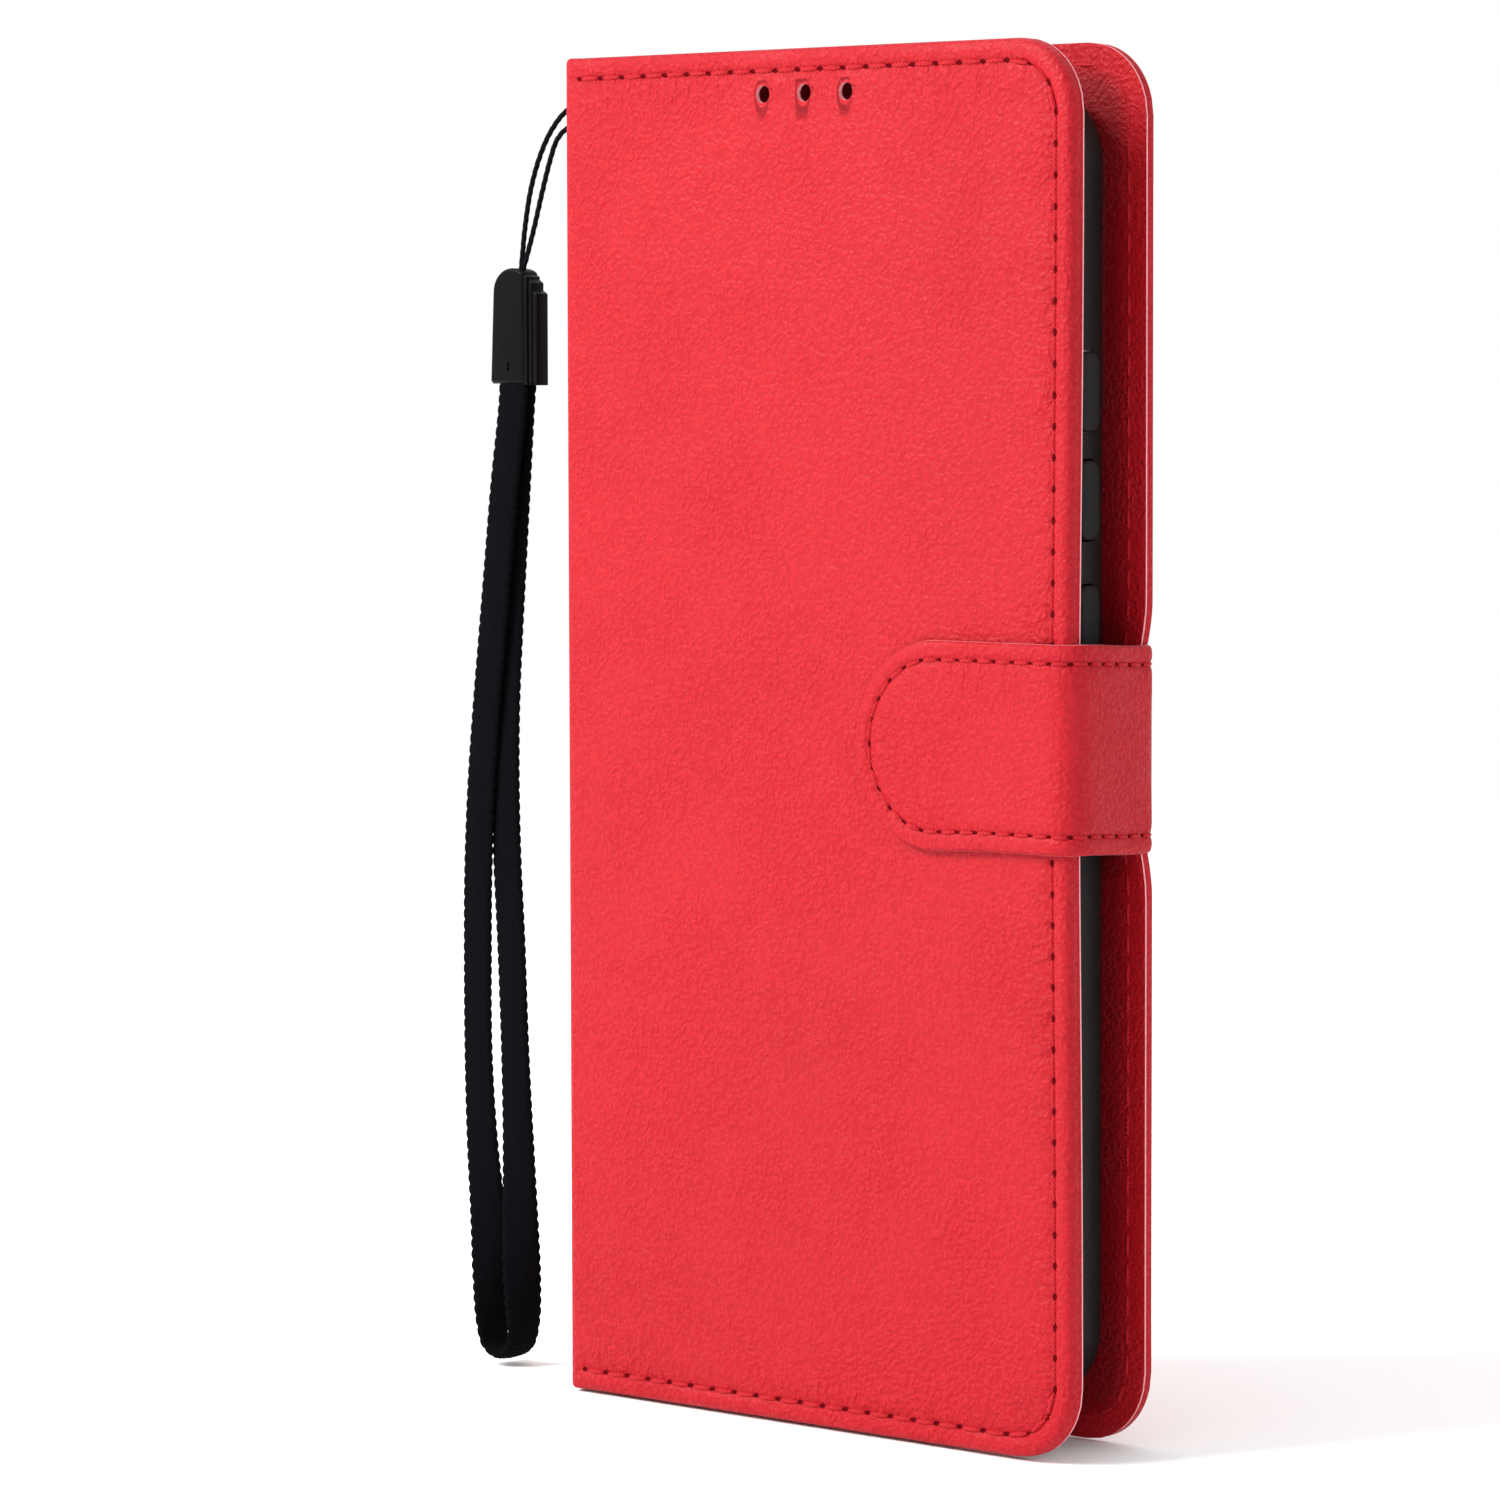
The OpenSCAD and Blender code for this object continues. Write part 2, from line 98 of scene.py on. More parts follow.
# %% Camera
TURN, RISE, ROLL = math.radians(42.35), math.radians(3.78), math.radians(-0.15)
AIM_MM = np.array([42.5, -8.1, 85.0])
DISTANCE_MM, SIDE_MM, LIFT_MM = 753.7, -14.36, -1.46
FOCAL = 145.66

to_camera = np.array([math.sin(TURN) * math.cos(RISE), -math.cos(TURN) * math.cos(RISE), math.sin(RISE)])
rightward = np.array([math.cos(TURN), math.sin(TURN), 0.0])
upward = np.cross(to_camera, rightward)
rolled = [math.cos(ROLL) * rightward + math.sin(ROLL) * upward,
          math.cos(ROLL) * upward - math.sin(ROLL) * rightward]
camera = bpy.data.objects.new("camera", bpy.data.cameras.new("camera"))
camera.data.lens, camera.data.sensor_width = FOCAL, 36.0
camera.data.clip_start, camera.data.clip_end = 0.01, 20.0
stand = AIM_MM + to_camera * DISTANCE_MM + rightward * SIDE_MM + upward * LIFT_MM
axes = Matrix((rolled[0], rolled[1], to_camera)).transposed()
camera.matrix_world = Matrix.Translation(metres(stand)) @ axes.to_4x4()
bpy.context.collection.objects.link(camera)
bpy.context.scene.camera = camera
print("camera stands at", np.round(metres(stand), 3))

# %% [markdown]
# ## Finishes
# A shader is a small sum: grain plus creases, and a red a little deeper in the hollows, which is
# painted shade. Blender writes such sums as nodes, which could be wired one by one, but then the sum
# is hard to see. The class below wraps a node's socket, so that Python's own +, - and * add the
# nodes, and the formula can be read as it is.

# %% Sockets that can be added and multiplied
class Wire:
    """One output of a shader node, usable in sums."""

    def __init__(self, finish, socket):
        self.finish, self.socket = finish, socket

    def maths(self, operation, first, second=0.0):
        return self.finish.node("ShaderNodeMath", {"operation": operation}, {0: first, 1: second})

    def __add__(self, other):
        return self.maths("ADD", self, other)

    def __radd__(self, other):
        return self.maths("ADD", other, self)

    def __sub__(self, other):
        return self.maths("SUBTRACT", self, other)

    def __rsub__(self, other):
        return self.maths("SUBTRACT", other, self)

    def __mul__(self, other):
        return self.maths("MULTIPLY", self, other)

    def __rmul__(self, other):
        return self.maths("MULTIPLY", other, self)


# %% [markdown]
# A finish is one material. Its single node-making method takes the node's type, its settings and
# the values or wires of its sockets, and everything else in the shader goes through it.

# %% A finish and its nodes
class Finish:
    """A material with one Principled shader, built up by formulas."""

    def __init__(self, name, **sockets):
        self.material = bpy.data.materials.new(name)
        self.material.use_nodes = True
        self.tree = self.material.node_tree
        self.shader = self.tree.nodes["Principled BSDF"]
        for socket, value in sockets.items():
            self.shader.inputs[socket.replace("_", " ")].default_value = value

    def node(self, kind, settings=None, sockets=None, output=0):
        made = self.tree.nodes.new(kind)
        for setting, value in (settings or {}).items():
            setattr(made, setting, value)
        for socket, value in (sockets or {}).items():
            if isinstance(value, Wire):
                self.tree.links.new(value.socket, made.inputs[socket])
            else:
                made.inputs[socket].default_value = value
        return Wire(self, made.outputs[output])

    def drive(self, socket, wire):
        self.tree.links.new(wire.socket, self.shader.inputs[socket])

    def places(self):
        return self.node("ShaderNodeTexCoord", output=3)

    def stored(self, name):
        return self.node("ShaderNodeAttribute", {"attribute_name": name}, output=2)

    def noise(self, per_mm, detail=2.0, where=None):
        return self.node("ShaderNodeTexNoise", None, {
            "Vector": where or self.places(), "Scale": per_mm / MM, "Detail": detail})

    def ramp(self, wire, low, high):
        return self.node("ShaderNodeMapRange", {"interpolation_type": "SMOOTHSTEP"}, {
            "Value": wire, "From Min": low, "From Max": high})

    def mix(self, factor, first, second):
        """Two colours, each a wire or a red, green and blue share, mixed by a factor."""
        pair = [(*shade, 1.0) if isinstance(shade, tuple) else shade for shade in (first, second)]
        sockets = {0: factor, 6: pair[0], 7: pair[1]}
        return self.node("ShaderNodeMix", {"data_type": "RGBA"}, sockets, output=2)

    def bump(self, heights, distance_mm, strength=1.0):
        self.drive("Normal", self.node("ShaderNodeBump", None, {
            "Height": heights, "Distance": distance_mm * MM, "Strength": strength}))


# %% [markdown]
# The leather has small uneven pebbles with creases between them. Real pebbles on the mesh would
# need millions of faces, so the grain is bump. A Voronoi pattern gives the pebbles, its coordinates
# are pushed about by noise so that no cell looks regular, and a slow noise lets the grain come and
# go. The red is deeper in the pebbles' hollows, as painted shade, and a slower noise varies its tone.
# Two numbers stored on the mesh, the distance to the nearest edge and the distance along it, place
# the fine wrinkles that a tight seam pulls into the leather. The lining, shut in between the covers,
# is painted a deeper red away from its edges, as painted shade.

# %% Leather
def leather(name, bright, deep, grain=1.0, wrinkles=0.0, rough=0.42, shade_inside=None):
    made = Finish(name, Specular_IOR_Level=0.2)
    where = made.places()
    stir = made.node("ShaderNodeTexNoise", None, {
        "Vector": where, "Scale": 0.9 / MM, "Detail": 2.0}, output=1)
    pushed = made.node("ShaderNodeVectorMath", {"operation": "MULTIPLY_ADD"}, {
        0: stir, 1: (0.9 * MM,) * 3, 2: where})
    cells = made.node("ShaderNodeTexVoronoi", {"feature": "SMOOTH_F1"}, {
        "Vector": pushed, "Scale": 1.7 / MM, "Smoothness": 0.7})
    coarse = made.ramp(made.noise(0.07), 0.38, 0.62)
    pebbles = 1.0 - made.ramp(cells, 0.1, 0.75)
    fine = 0.6 * made.noise(2.0, 3.0) + 0.12 * made.noise(7.0)
    heights = pebbles * (0.55 + 0.45 * coarse) * grain + fine
    if wrinkles:
        inset, along = made.stored("inset"), made.stored("along")
        stretched = made.node("ShaderNodeCombineXYZ", None, {0: along * 0.9, 1: inset * 0.32})
        ridges = made.node("ShaderNodeTexNoise", {"noise_dimensions": "2D"}, {
            "Vector": stretched, "Scale": 1.0, "Detail": 2.0})
        near = made.ramp(inset, 1.6, 2.8) * (1.0 - made.ramp(inset, 3.2, 9.5))
        heights = heights + wrinkles * made.ramp(ridges, 0.35, 0.75) * near * (0.3 + 0.7 * coarse)
    made.bump(heights, 0.22, 0.85)
    # Painted shade: the red is deeper in the pebbles' hollows; the slow noise varies the tone at random.
    hollow_shade_and_tone = 0.75 - 0.35 * pebbles - 0.3 * made.noise(0.03)
    colour = made.mix(hollow_shade_and_tone, bright, deep)
    # Painted shade: away from the edges the red darkens to the shade colour.
    if shade_inside:
        colour = made.mix(made.ramp(made.stored("inset"), 1.6, 5.0), colour, shade_inside)
    made.drive("Base Color", colour)
    made.drive("Roughness", rough + 0.16 * (1.0 - pebbles) + 0.1 * coarse)
    print("finish:", name)
    return made.material


# The deeper red is the painted shade in the grain's hollows.
RED, HOLLOW_SHADE_RED = (0.46, 0.005, 0.014), (0.28, 0.0025, 0.007)
cover_leather = leather("cover leather", RED, HOLLOW_SHADE_RED, 0.8, wrinkles=1.1)
strap_leather = leather("strap leather", RED, HOLLOW_SHADE_RED, 0.7, wrinkles=0.5)
pocket_leather = leather("pocket leather", (0.50, 0.009, 0.018), (0.34, 0.005, 0.010), 0.7)
# Painted shade: the lining's red darkens away from its edges, where the covers shut it in.
lining_leather = leather("lining leather", (0.46, 0.006, 0.012), (0.30, 0.003, 0.007), 0.6, wrinkles=0.5,
                         rough=0.44, shade_inside=(0.20, 0.002, 0.005))

# %% [markdown]
# Where leather is cut, its pale core shows as a thin line. Thread is a twisted yarn, and a wave
# pattern gives the slanted ridges along each stitch, with a darker red in the grooves between them
# as painted shade. The needle holes are painted dark, as painted shade of the hole.

# %% Cut edges, thread and needle holes
def cut_edge():
    made = Finish("cut edge", Roughness=0.75)
    made.drive("Base Color", made.mix(made.noise(2.0), (0.80, 0.40, 0.42), (0.66, 0.20, 0.23)))
    made.bump(made.noise(6.0), 0.05)
    return made.material


def thread():
    made = Finish("red thread", Roughness=0.6, Specular_IOR_Level=0.2)
    twist = made.node("ShaderNodeTexWave", {"bands_direction": "DIAGONAL"}, {
        "Vector": made.places(), "Scale": 1.1 / MM, "Distortion": 0.5})
    made.bump(twist, 0.08)
    # Painted shade: the thread's red is darker in the grooves of the twist.
    made.drive("Base Color", made.mix(twist, (0.26, 0.003, 0.007), (0.56, 0.010, 0.020)))
    return made.material


def painted_hole_shade():
    made = Finish("needle hole", Roughness=0.9, Specular_IOR_Level=0.05)
    # Painted shade: pits and hole sleeves take this near-black red to stand for the shade inside a hole.
    made.drive("Base Color", made.mix(made.noise(3.0), (0.06, 0.0006, 0.0015), (0.11, 0.001, 0.003)))
    return made.material


pale_edge, red_thread, shade_of_holes = cut_edge(), thread(), painted_hole_shade()
print("finishes:", pale_edge.name, red_thread.name, shade_of_holes.name)

# %% [markdown]
# The shell and its keys are one moulding of soft black plastic: almost smooth, with the faint
# orange peel of the mould, which a fine noise gives. The crimp cap is harder and a little glossier.

# %% Moulded black plastics
def moulded(name, shade, rough, grain_mm=0.02, shine=0.16):
    made = Finish(name, Specular_IOR_Level=shine)
    cloud = made.noise(0.12, 3.0)
    made.drive("Base Color", made.mix(cloud, shade, tuple(1.5 * part for part in shade)))
    made.drive("Roughness", rough + 0.14 * cloud)
    made.bump(made.noise(3.5, 3.0), grain_mm)
    return made.material


soft_shell = moulded("soft shell", (0.006, 0.006, 0.0062), 0.36)
key_plastic = moulded("key plastic", (0.007, 0.007, 0.0073), 0.40)
cap_plastic = moulded("cap plastic", (0.002, 0.002, 0.0026), 0.28, shine=0.06)
print("plastics:", soft_shell.name, key_plastic.name, cap_plastic.name)

# %% [markdown]
# Board, foam tape, steel and the magnet lie between the layers of leather, and show only when the
# case is taken apart. One simple uneven finish serves them all.

# %% Hidden materials
def plain(name, first, second, rough, per_mm, metallic=0.0, relief=0.03):
    made = Finish(name, Metallic=metallic)
    cloud = made.noise(per_mm, 3.0)
    made.drive("Base Color", made.mix(cloud, first, second))
    made.drive("Roughness", rough + 0.1 * cloud)
    made.bump(cloud, relief)
    return made.material


grey_board = plain("grey board", (0.45, 0.37, 0.27), (0.60, 0.50, 0.38), 0.8, 0.8)
foam_tape = plain("foam tape", (0.80, 0.80, 0.78), (0.68, 0.68, 0.66), 0.8, 1.2)
keeper_steel = plain("keeper steel", (0.55, 0.55, 0.57), (0.70, 0.70, 0.72), 0.25, 0.6, 1.0)
nickel = plain("nickel", (0.68, 0.66, 0.62), (0.78, 0.76, 0.72), 0.16, 0.6, 1.0)
print("hidden:", grey_board.name, foam_tape.name, keeper_steel.name, nickel.name)

# %% [markdown]
# The cord and the webbing are matt black yarn. Their weave is modelled as relief where it is large
# enough to be seen against the light, and the rest is bump.

# %% Black yarn
def yarn(name, shade, per_mm):
    made = Finish(name, Roughness=0.9, Specular_IOR_Level=0.04)
    strands = made.noise(per_mm, 3.0)
    made.drive("Base Color", made.mix(strands, shade, tuple(2.2 * part for part in shade)))
    made.bump(strands, 0.12)
    return made.material


webbing_yarn = yarn("webbing yarn", (0.0012, 0.0012, 0.0018), 3.0)
cord_yarn = yarn("cord yarn", (0.003, 0.003, 0.004), 5.0)
print("yarns:", webbing_yarn.name, cord_yarn.name)

# %% [markdown]
# ## Sheets of leather
# Every leather piece here is a flat sheet that follows a line: across the back, round a fold and on.
# So a piece is described in two steps. A track is the line, seen from above, with soft corners. A
# sheet is a grid laid along that track, whose far corners are round, and which knows at each point
# how far the edge is. A profile of heights over that distance then gives the rolled rim, the
# groove of the seam and the soft swelling beside it.

# %% A track that a sheet follows
class Track:
    """A line across the case seen from above. Heights are measured to its outer side."""

    def __init__(self, corners, radii, side):
        corners = [np.array(corner_place, float) for corner_place in corners]
        line = [corners[0]]
        for before, here, after, radius in zip(corners, corners[1:], corners[2:], radii):
            start = here + (before - here) / np.linalg.norm(before - here) * radius
            end = here + (after - here) / np.linalg.norm(after - here) * radius
            for t in np.linspace(0, 1, 16):
                line.append((1 - t) ** 2 * start + 2 * t * (1 - t) * here + t ** 2 * end)
        line = np.array([*line, corners[-1]])
        run = np.concatenate([[0], np.cumsum(np.linalg.norm(np.diff(line, axis=0), axis=1))])
        self.length = run[-1]
        self.u = np.linspace(0, self.length, int(self.length / 0.15) + 2)
        self.line = np.stack([np.interp(self.u, run, line[:, k]) for k in (0, 1)], 1)
        ahead = np.gradient(self.line, self.u, axis=0)
        ahead /= np.linalg.norm(ahead, axis=1)[:, None]
        self.ahead, self.out = ahead, side * np.stack([-ahead[:, 1], ahead[:, 0]], 1)

    def at(self, u, v, h):
        """Places at distance u along the track, height v on the case and height h above the sheet."""
        u, v, h = np.broadcast_arrays(np.asarray(u, float), v, h)
        line, ahead, out = (np.stack([np.interp(u, self.u, table[:, k]) for k in (0, 1)], -1)
                            for table in (self.line, self.ahead, self.out))
        beyond = (u - np.clip(u, 0, self.length))[..., None]
        return np.concatenate([line + ahead * beyond + out * h[..., None], v[..., None]], -1)


# %% [markdown]
# A plain square grid would step along a round corner and cut across the seam's groove. So near the
# edges the grid's rows follow a list of insets, close together where the profile bends, and in a
# round corner the square patch of the grid is bent onto a quarter circle, so that the same rows
# sweep round it.

# %% A grid over a sheet with two round corners
class Grid:
    """Places u, v, distance to the edge, distance along it, and the edge's outward direction."""

    def __init__(self, length, low, high, radius, insets, step):
        body, tall = length - radius, high - low
        upright, quarter = tall - 2 * radius, radius * math.pi / 2
        insets = np.array([inset for inset in insets if inset < radius] + [radius])
        towards_edge = insets[::-1][1:]
        rows = max(1, round(upright / step)) if upright > 1e-6 else 0
        middle = np.linspace(radius, tall - radius, rows + 1)[1:] if rows else np.array([])
        us = np.concatenate([np.linspace(0, body, max(1, round(body / step)) + 1), length - towards_edge])
        vs = np.concatenate([insets, middle, tall - towards_edge])
        u, v = np.meshgrid(us, vs, indexing="ij")

        past = np.clip((u - body) / radius, 0, 1)
        under, over = np.clip((radius - v) / radius, 0, 1), np.clip((v - (tall - radius)) / radius, 0, 1)
        aside = np.maximum(under, over)
        reach, small = np.maximum(past, aside), np.minimum(past, aside)
        slant = small / np.maximum(reach, 1e-9) * 45
        turn = np.radians(np.where(past >= aside, slant, 90 - slant))
        up = np.where(over > 0, 1.0, -1.0)
        in_corner = (past > 0) & (aside > 0)
        centre_v = np.where(over > 0, tall - radius, radius)
        self.u = np.where(in_corner, body + radius * reach * np.cos(turn), u)
        self.v = low + np.where(in_corner, centre_v + up * radius * reach * np.sin(turn), v)
        straight = np.minimum(np.minimum(length - u, v), tall - v)
        self.inset = np.where(in_corner, radius * (1 - reach), straight)

        at_side, at_foot = (length - u) <= np.minimum(v, tall - v), v < tall / 2
        on_side = body + quarter + np.clip(v - radius, 0, upright)
        on_ends = np.where(at_foot, u, 2 * (body + quarter) + upright - u)
        first = np.where(at_foot, body, body + quarter + upright)
        bent = first + radius * np.where(up > 0, turn, math.pi / 2 - turn)
        self.along = np.where(in_corner, bent, np.where(at_side, on_side, on_ends))
        self.out_u = np.where(in_corner, np.cos(turn), np.where(at_side, 1.0, 0.0))
        flat_v = np.where(at_side, 0.0, np.where(at_foot, -1.0, 1.0))
        self.out_v = np.where(in_corner, up * np.sin(turn), flat_v)
        self.shape = u.shape

    def rim(self):
        """Grid indices along the three free edges, from one end of the open side to the other."""
        last_i, last_j = self.shape[0] - 1, self.shape[1] - 1
        path = [(i, 0) for i in range(last_i)] + [(last_i, j) for j in range(last_j)]
        path += [(i, last_j) for i in range(last_i, -1, -1)]
        return [i * self.shape[1] + j for i, j in path]


# %% [markdown]
# Three small helpers make the meshes. One makes an object from points and faces with its materials.
# The other two write the faces of a tube: the rings of points are joined one to the next, and its
# two ends are closed.

# %% Making meshes
def mesh_piece(name, points, faces, materials, which=None, stored=None, sharp=45):
    name = name.replace(" ", "_")
    mesh = bpy.data.meshes.new(name)
    mesh.from_pydata(metres(points).tolist(), [], [list(map(int, face)) for face in faces])
    for material in materials:
        mesh.materials.append(material)
    if which is not None:
        mesh.polygons.foreach_set("material_index", np.asarray(which, np.int32))
    for key, values in (stored or {}).items():
        mesh.attributes.new(key, "FLOAT", "POINT").data.foreach_set("value", np.asarray(values, np.float32))
    tidy = bmesh.new()
    tidy.from_mesh(mesh)
    bmesh.ops.recalc_face_normals(tidy, faces=tidy.faces)
    tidy.to_mesh(mesh)
    tidy.free()
    mesh.polygons.foreach_set("use_smooth", np.ones(len(mesh.polygons), bool))
    mesh.set_sharp_from_angle(angle=math.radians(sharp))
    made = bpy.data.objects.new(name, mesh)
    bpy.context.collection.objects.link(made)
    return made


def ring_faces(rings, around, first=0, closed=False):
    """Faces between neighbouring rings, each of as many points as around says."""
    starts = [first + ring % rings * around for ring in range(rings + 1 if closed else rings)]
    return [[here + k, here + (k + 1) % around, after + (k + 1) % around, after + k]
            for here, after in zip(starts, starts[1:]) for k in range(around)]


def end_faces(rings, around, first=0):
    """The two faces that close a tube."""
    last = first + (rings - 1) * around
    return [list(range(first, first + around)), list(range(last, last + around))]


# %% [markdown]
# A sheet of leather is closed: an outer face that follows the profile, an edge in narrow bands,
# which can take the pale colour of the cut, and an inner face. Its thickness is real, so nothing
# looks paper-thin where the case opens.

# %% Laying a sheet on a track
def lay_sheet(name, track, grid, top, bottom, bands, materials, inner_material, bend=None, dents=None):
    """A closed sheet: outer face at height top, inner face at height bottom, and an edge whose
    bands each give (how far out, height, material)."""
    rows, columns = grid.shape
    outer = track.at(grid.u, grid.v, top - (0 if dents is None else dents)).reshape(-1, 3)
    inner = track.at(grid.u, grid.v, bottom).reshape(-1, 3)
    rim = np.array(grid.rim())
    flat = {key: getattr(grid, key).reshape(-1) for key in ("u", "v", "out_u", "out_v", "inset", "along")}
    points, levels, count = [outer], [rim], len(outer)
    for out, level, _ in bands:
        points.append(track.at(flat["u"][rim] + flat["out_u"][rim] * out,
                               flat["v"][rim] + flat["out_v"][rim] * out, np.full(len(rim), level)))
        levels.append(np.arange(count, count + len(rim)))
        count += len(rim)
    points.append(inner)
    levels.append(rim + count)
    starts = np.array([i * columns + j for i in range(rows - 1) for j in range(columns - 1)])
    quads = np.stack([starts, starts + columns, starts + columns + 1, starts + 1], 1)
    faces, which = quads.tolist(), [0] * len(quads)
    edge_materials = [band[2] for band in bands] + [inner_material]
    for above, below, material in zip(levels, levels[1:], edge_materials):
        faces += [list(quad) for quad in zip(above, below, below[1:], above[1:])]
        which += [material] * (len(rim) - 1)
    faces += (quads[:, ::-1] + count).tolist()
    which += [inner_material] * len(quads)
    open_side = list(range(columns)) + [level[-1] for level in levels[1:-1]]
    open_side += list(range(count + columns - 1, count - 1, -1)) + [level[0] for level in levels[-2:0:-1]]
    faces.append(open_side)
    which.append(inner_material)
    points = np.concatenate(points)
    if bend is not None:
        points = bend(points)
    band_points = np.zeros(len(points) - 2 * len(outer))
    stored = {key: np.concatenate([flat[key], band_points, flat[key]]) for key in ("inset", "along")}
    return mesh_piece(name, points, faces, materials, which, stored)


def profile(distance, table):
    """Height at a distance from the edge, read from a short list of (distance, height)."""
    return np.interp(distance, [row[0] for row in table], [row[1] for row in table])


# %% [markdown]
# ## Seams
# A seam is a row of needle holes at one pitch, with a short bridge of thread between each two. A
# painted dashed line would look flat from the side, so each stitch is a piece of mesh. The holes are
# worked out along the sheet's edge, round its corners, and both the dents in the leather and the
# stitches use the same list.

# %% Needle holes and dents
def seam_holes(length, low, high, radius, inset, start, pitch):
    turn = radius - inset
    arc = turn * math.pi / 2
    body, side, upright = length - radius, length - radius - start, high - low - 2 * radius
    corner_1, corner_2, corner_3 = side + arc, side + arc + upright, side + 2 * arc + upright
    total = 2 * side + 2 * arc + upright
    holes = []
    for run in np.linspace(0, total, round(total / pitch) + 1):
        if run <= side:
            hole = (start + run, low + inset)
        elif run <= corner_1:
            angle = (run - side) / turn
            hole = (body + turn * math.sin(angle), low + radius - turn * math.cos(angle))
        elif run <= corner_2:
            hole = (length - inset, low + radius + run - corner_1)
        elif run <= corner_3:
            angle = (run - corner_2) / turn
            hole = (body + turn * math.cos(angle), high - radius + turn * math.sin(angle))
        else:
            hole = (body - (run - corner_3), high - inset)
        holes.append(hole)
    return np.array(holes)


def dents(grid, holes, deep, wide):
    near = np.full(grid.shape, 1e9)
    for u, v in holes:
        near = np.minimum(near, (grid.u - u) ** 2 + (grid.v - v) ** 2)
    return deep * np.exp(-near / wide ** 2)


# %% [markdown]
# Each stitch is a small tube that rises in an arch and thins where it dives into its holes. A pit
# round each hole, of three small rings painted near-black, gives the dark dot between the stitches,
# which is painted shade of the hole.

# %% Stitches
AROUND, ARCH_RINGS, STITCH_SHARE, SUNK = 8, 9, (0.13, 0.87), 0.1
PIT_RINGS = ((0.40, -0.12), (0.24, -0.15), (0.05, -0.20))


def stitch_rings(track, hole, after, level, radius, rise):
    (u0, v0), (u1, v1) = hole, after
    angles = np.linspace(0, 2 * math.pi, AROUND, endpoint=False)
    across = np.array([-(v1 - v0), u1 - u0]) / math.hypot(u1 - u0, v1 - v0)
    arch = np.sin(np.linspace(0, math.pi, ARCH_RINGS))
    swell = radius * (0.45 + 0.55 * np.sqrt(np.clip(arch, 0, 1)))
    rings = []
    for share, lift, size in zip(np.linspace(*STITCH_SHARE, ARCH_RINGS), arch, swell):
        u = u0 + (u1 - u0) * share + across[0] * size * np.cos(angles)
        v = v0 + (v1 - v0) * share + across[1] * size * np.cos(angles)
        rings.append(track.at(u, v, level + rise * lift - SUNK + size * np.sin(angles)))
    return rings


def pit_rings(track, holes, number, level):
    angles = np.linspace(0, 2 * math.pi, AROUND, endpoint=False)
    ahead = holes[min(number + 1, len(holes) - 1)] - holes[max(number - 1, 0)]
    ahead = ahead / np.linalg.norm(ahead)
    rings = []
    for size, drop in PIT_RINGS:
        along, over = size * 1.25 * np.cos(angles), size * 0.9 * np.sin(angles)
        u = holes[number][0] + ahead[0] * along - ahead[1] * over
        v = holes[number][1] + ahead[1] * along + ahead[0] * over
        rings.append(track.at(u, v, np.full(AROUND, level + drop)))
    return rings


def stitches(name, track, holes, level, radius, bend=None, rise=0.16):
    """Bridges of thread between the holes, and a pit at each hole painted dark as shade, as one piece."""
    points, faces, which = [], [], []
    for hole, after in zip(holes, holes[1:]):
        first = len(points) * AROUND
        points += stitch_rings(track, hole, after, level, radius, rise)
        bridge = ring_faces(ARCH_RINGS, AROUND, first) + end_faces(ARCH_RINGS, AROUND, first)
        faces += bridge
        which += [0] * len(bridge)
    for number in range(len(holes)):
        first = len(points) * AROUND
        # Painted shade: each pit is a near-black disc for the shade of its hole.
        points += pit_rings(track, holes, number, level)
        pit = ring_faces(len(PIT_RINGS), AROUND, first) + end_faces(len(PIT_RINGS), AROUND, first)[1:]
        faces += pit
        which += [1] * len(pit)
    points = np.concatenate(points)
    if bend is not None:
        points = bend(points)
    return mesh_piece(name, points, faces, [red_thread, shade_of_holes], which)


# %% [markdown]
# Openings are cut with solids, because a boolean cut leaves true edges through the whole thickness.
# Every cutter here is an outline pushed along one axis, most of them rounded rectangles.

# %% Outlines, solids and cuts
def carve(piece, *cutters):
    """Cut solids out of a piece; the new faces take the cutter's finish."""
    for cutter in cutters:
        step = piece.modifiers.new("cut", "BOOLEAN")
        step.object, step.operation, step.solver = cutter, "DIFFERENCE", "EXACT"
        step.material_mode = "TRANSFER"
    seen = piece.evaluated_get(bpy.context.evaluated_depsgraph_get())
    cut = bpy.data.meshes.new_from_object(seen, preserve_all_data_layers=True,
                                          depsgraph=bpy.context.evaluated_depsgraph_get())
    piece.modifiers.clear()
    piece.data = cut
    piece.data.set_sharp_from_angle(angle=math.radians(40))
    for cutter in cutters:
        bpy.data.objects.remove(cutter)
    return piece


def rounded_outline(x0, x1, z0, z1, radius, steps=10, spacing=4.0):
    """Points of a rounded rectangle, and its outward directions."""
    points, outward = [], []
    for centre_x, centre_z, first in ((x1 - radius, z1 - radius, 0), (x0 + radius, z1 - radius, 90),
                                      (x0 + radius, z0 + radius, 180), (x1 - radius, z0 + radius, 270)):
        for angle in np.radians(np.linspace(first, first + 90, steps + 1)):
            way = np.array([math.cos(angle), math.sin(angle)])
            points.append(np.array([centre_x, centre_z]) + radius * way)
            outward.append(way)
    full_points, full_out = [], []
    for k, (here, way) in enumerate(zip(points, outward)):
        after = points[(k + 1) % len(points)]
        straight = (k + 1) % (steps + 1) == 0
        count = max(1, int(np.linalg.norm(after - here) / spacing)) if straight else 1
        for m in range(count):
            full_points.append(here + (after - here) * m / count)
            full_out.append(way)
    return np.array(full_points), np.array(full_out)


def pushed(name, outline, axis, start, end, material):
    """A solid: an outline pushed along x, y or z (axis 0, 1 or 2) from start to end."""
    ends = [np.insert(np.array(outline, float), axis, place, axis=1) for place in (start, end)]
    faces = ring_faces(2, len(outline)) + end_faces(2, len(outline))
    return mesh_piece(name, np.concatenate(ends), faces, [material])


def cutter(axis, start, end, sides, radius, material, steps=10):
    """A rounded rectangle with the given sides, pushed along an axis."""
    outline, _ = rounded_outline(*sides, radius, steps)
    return pushed("cutter", outline, axis, start, end, material)
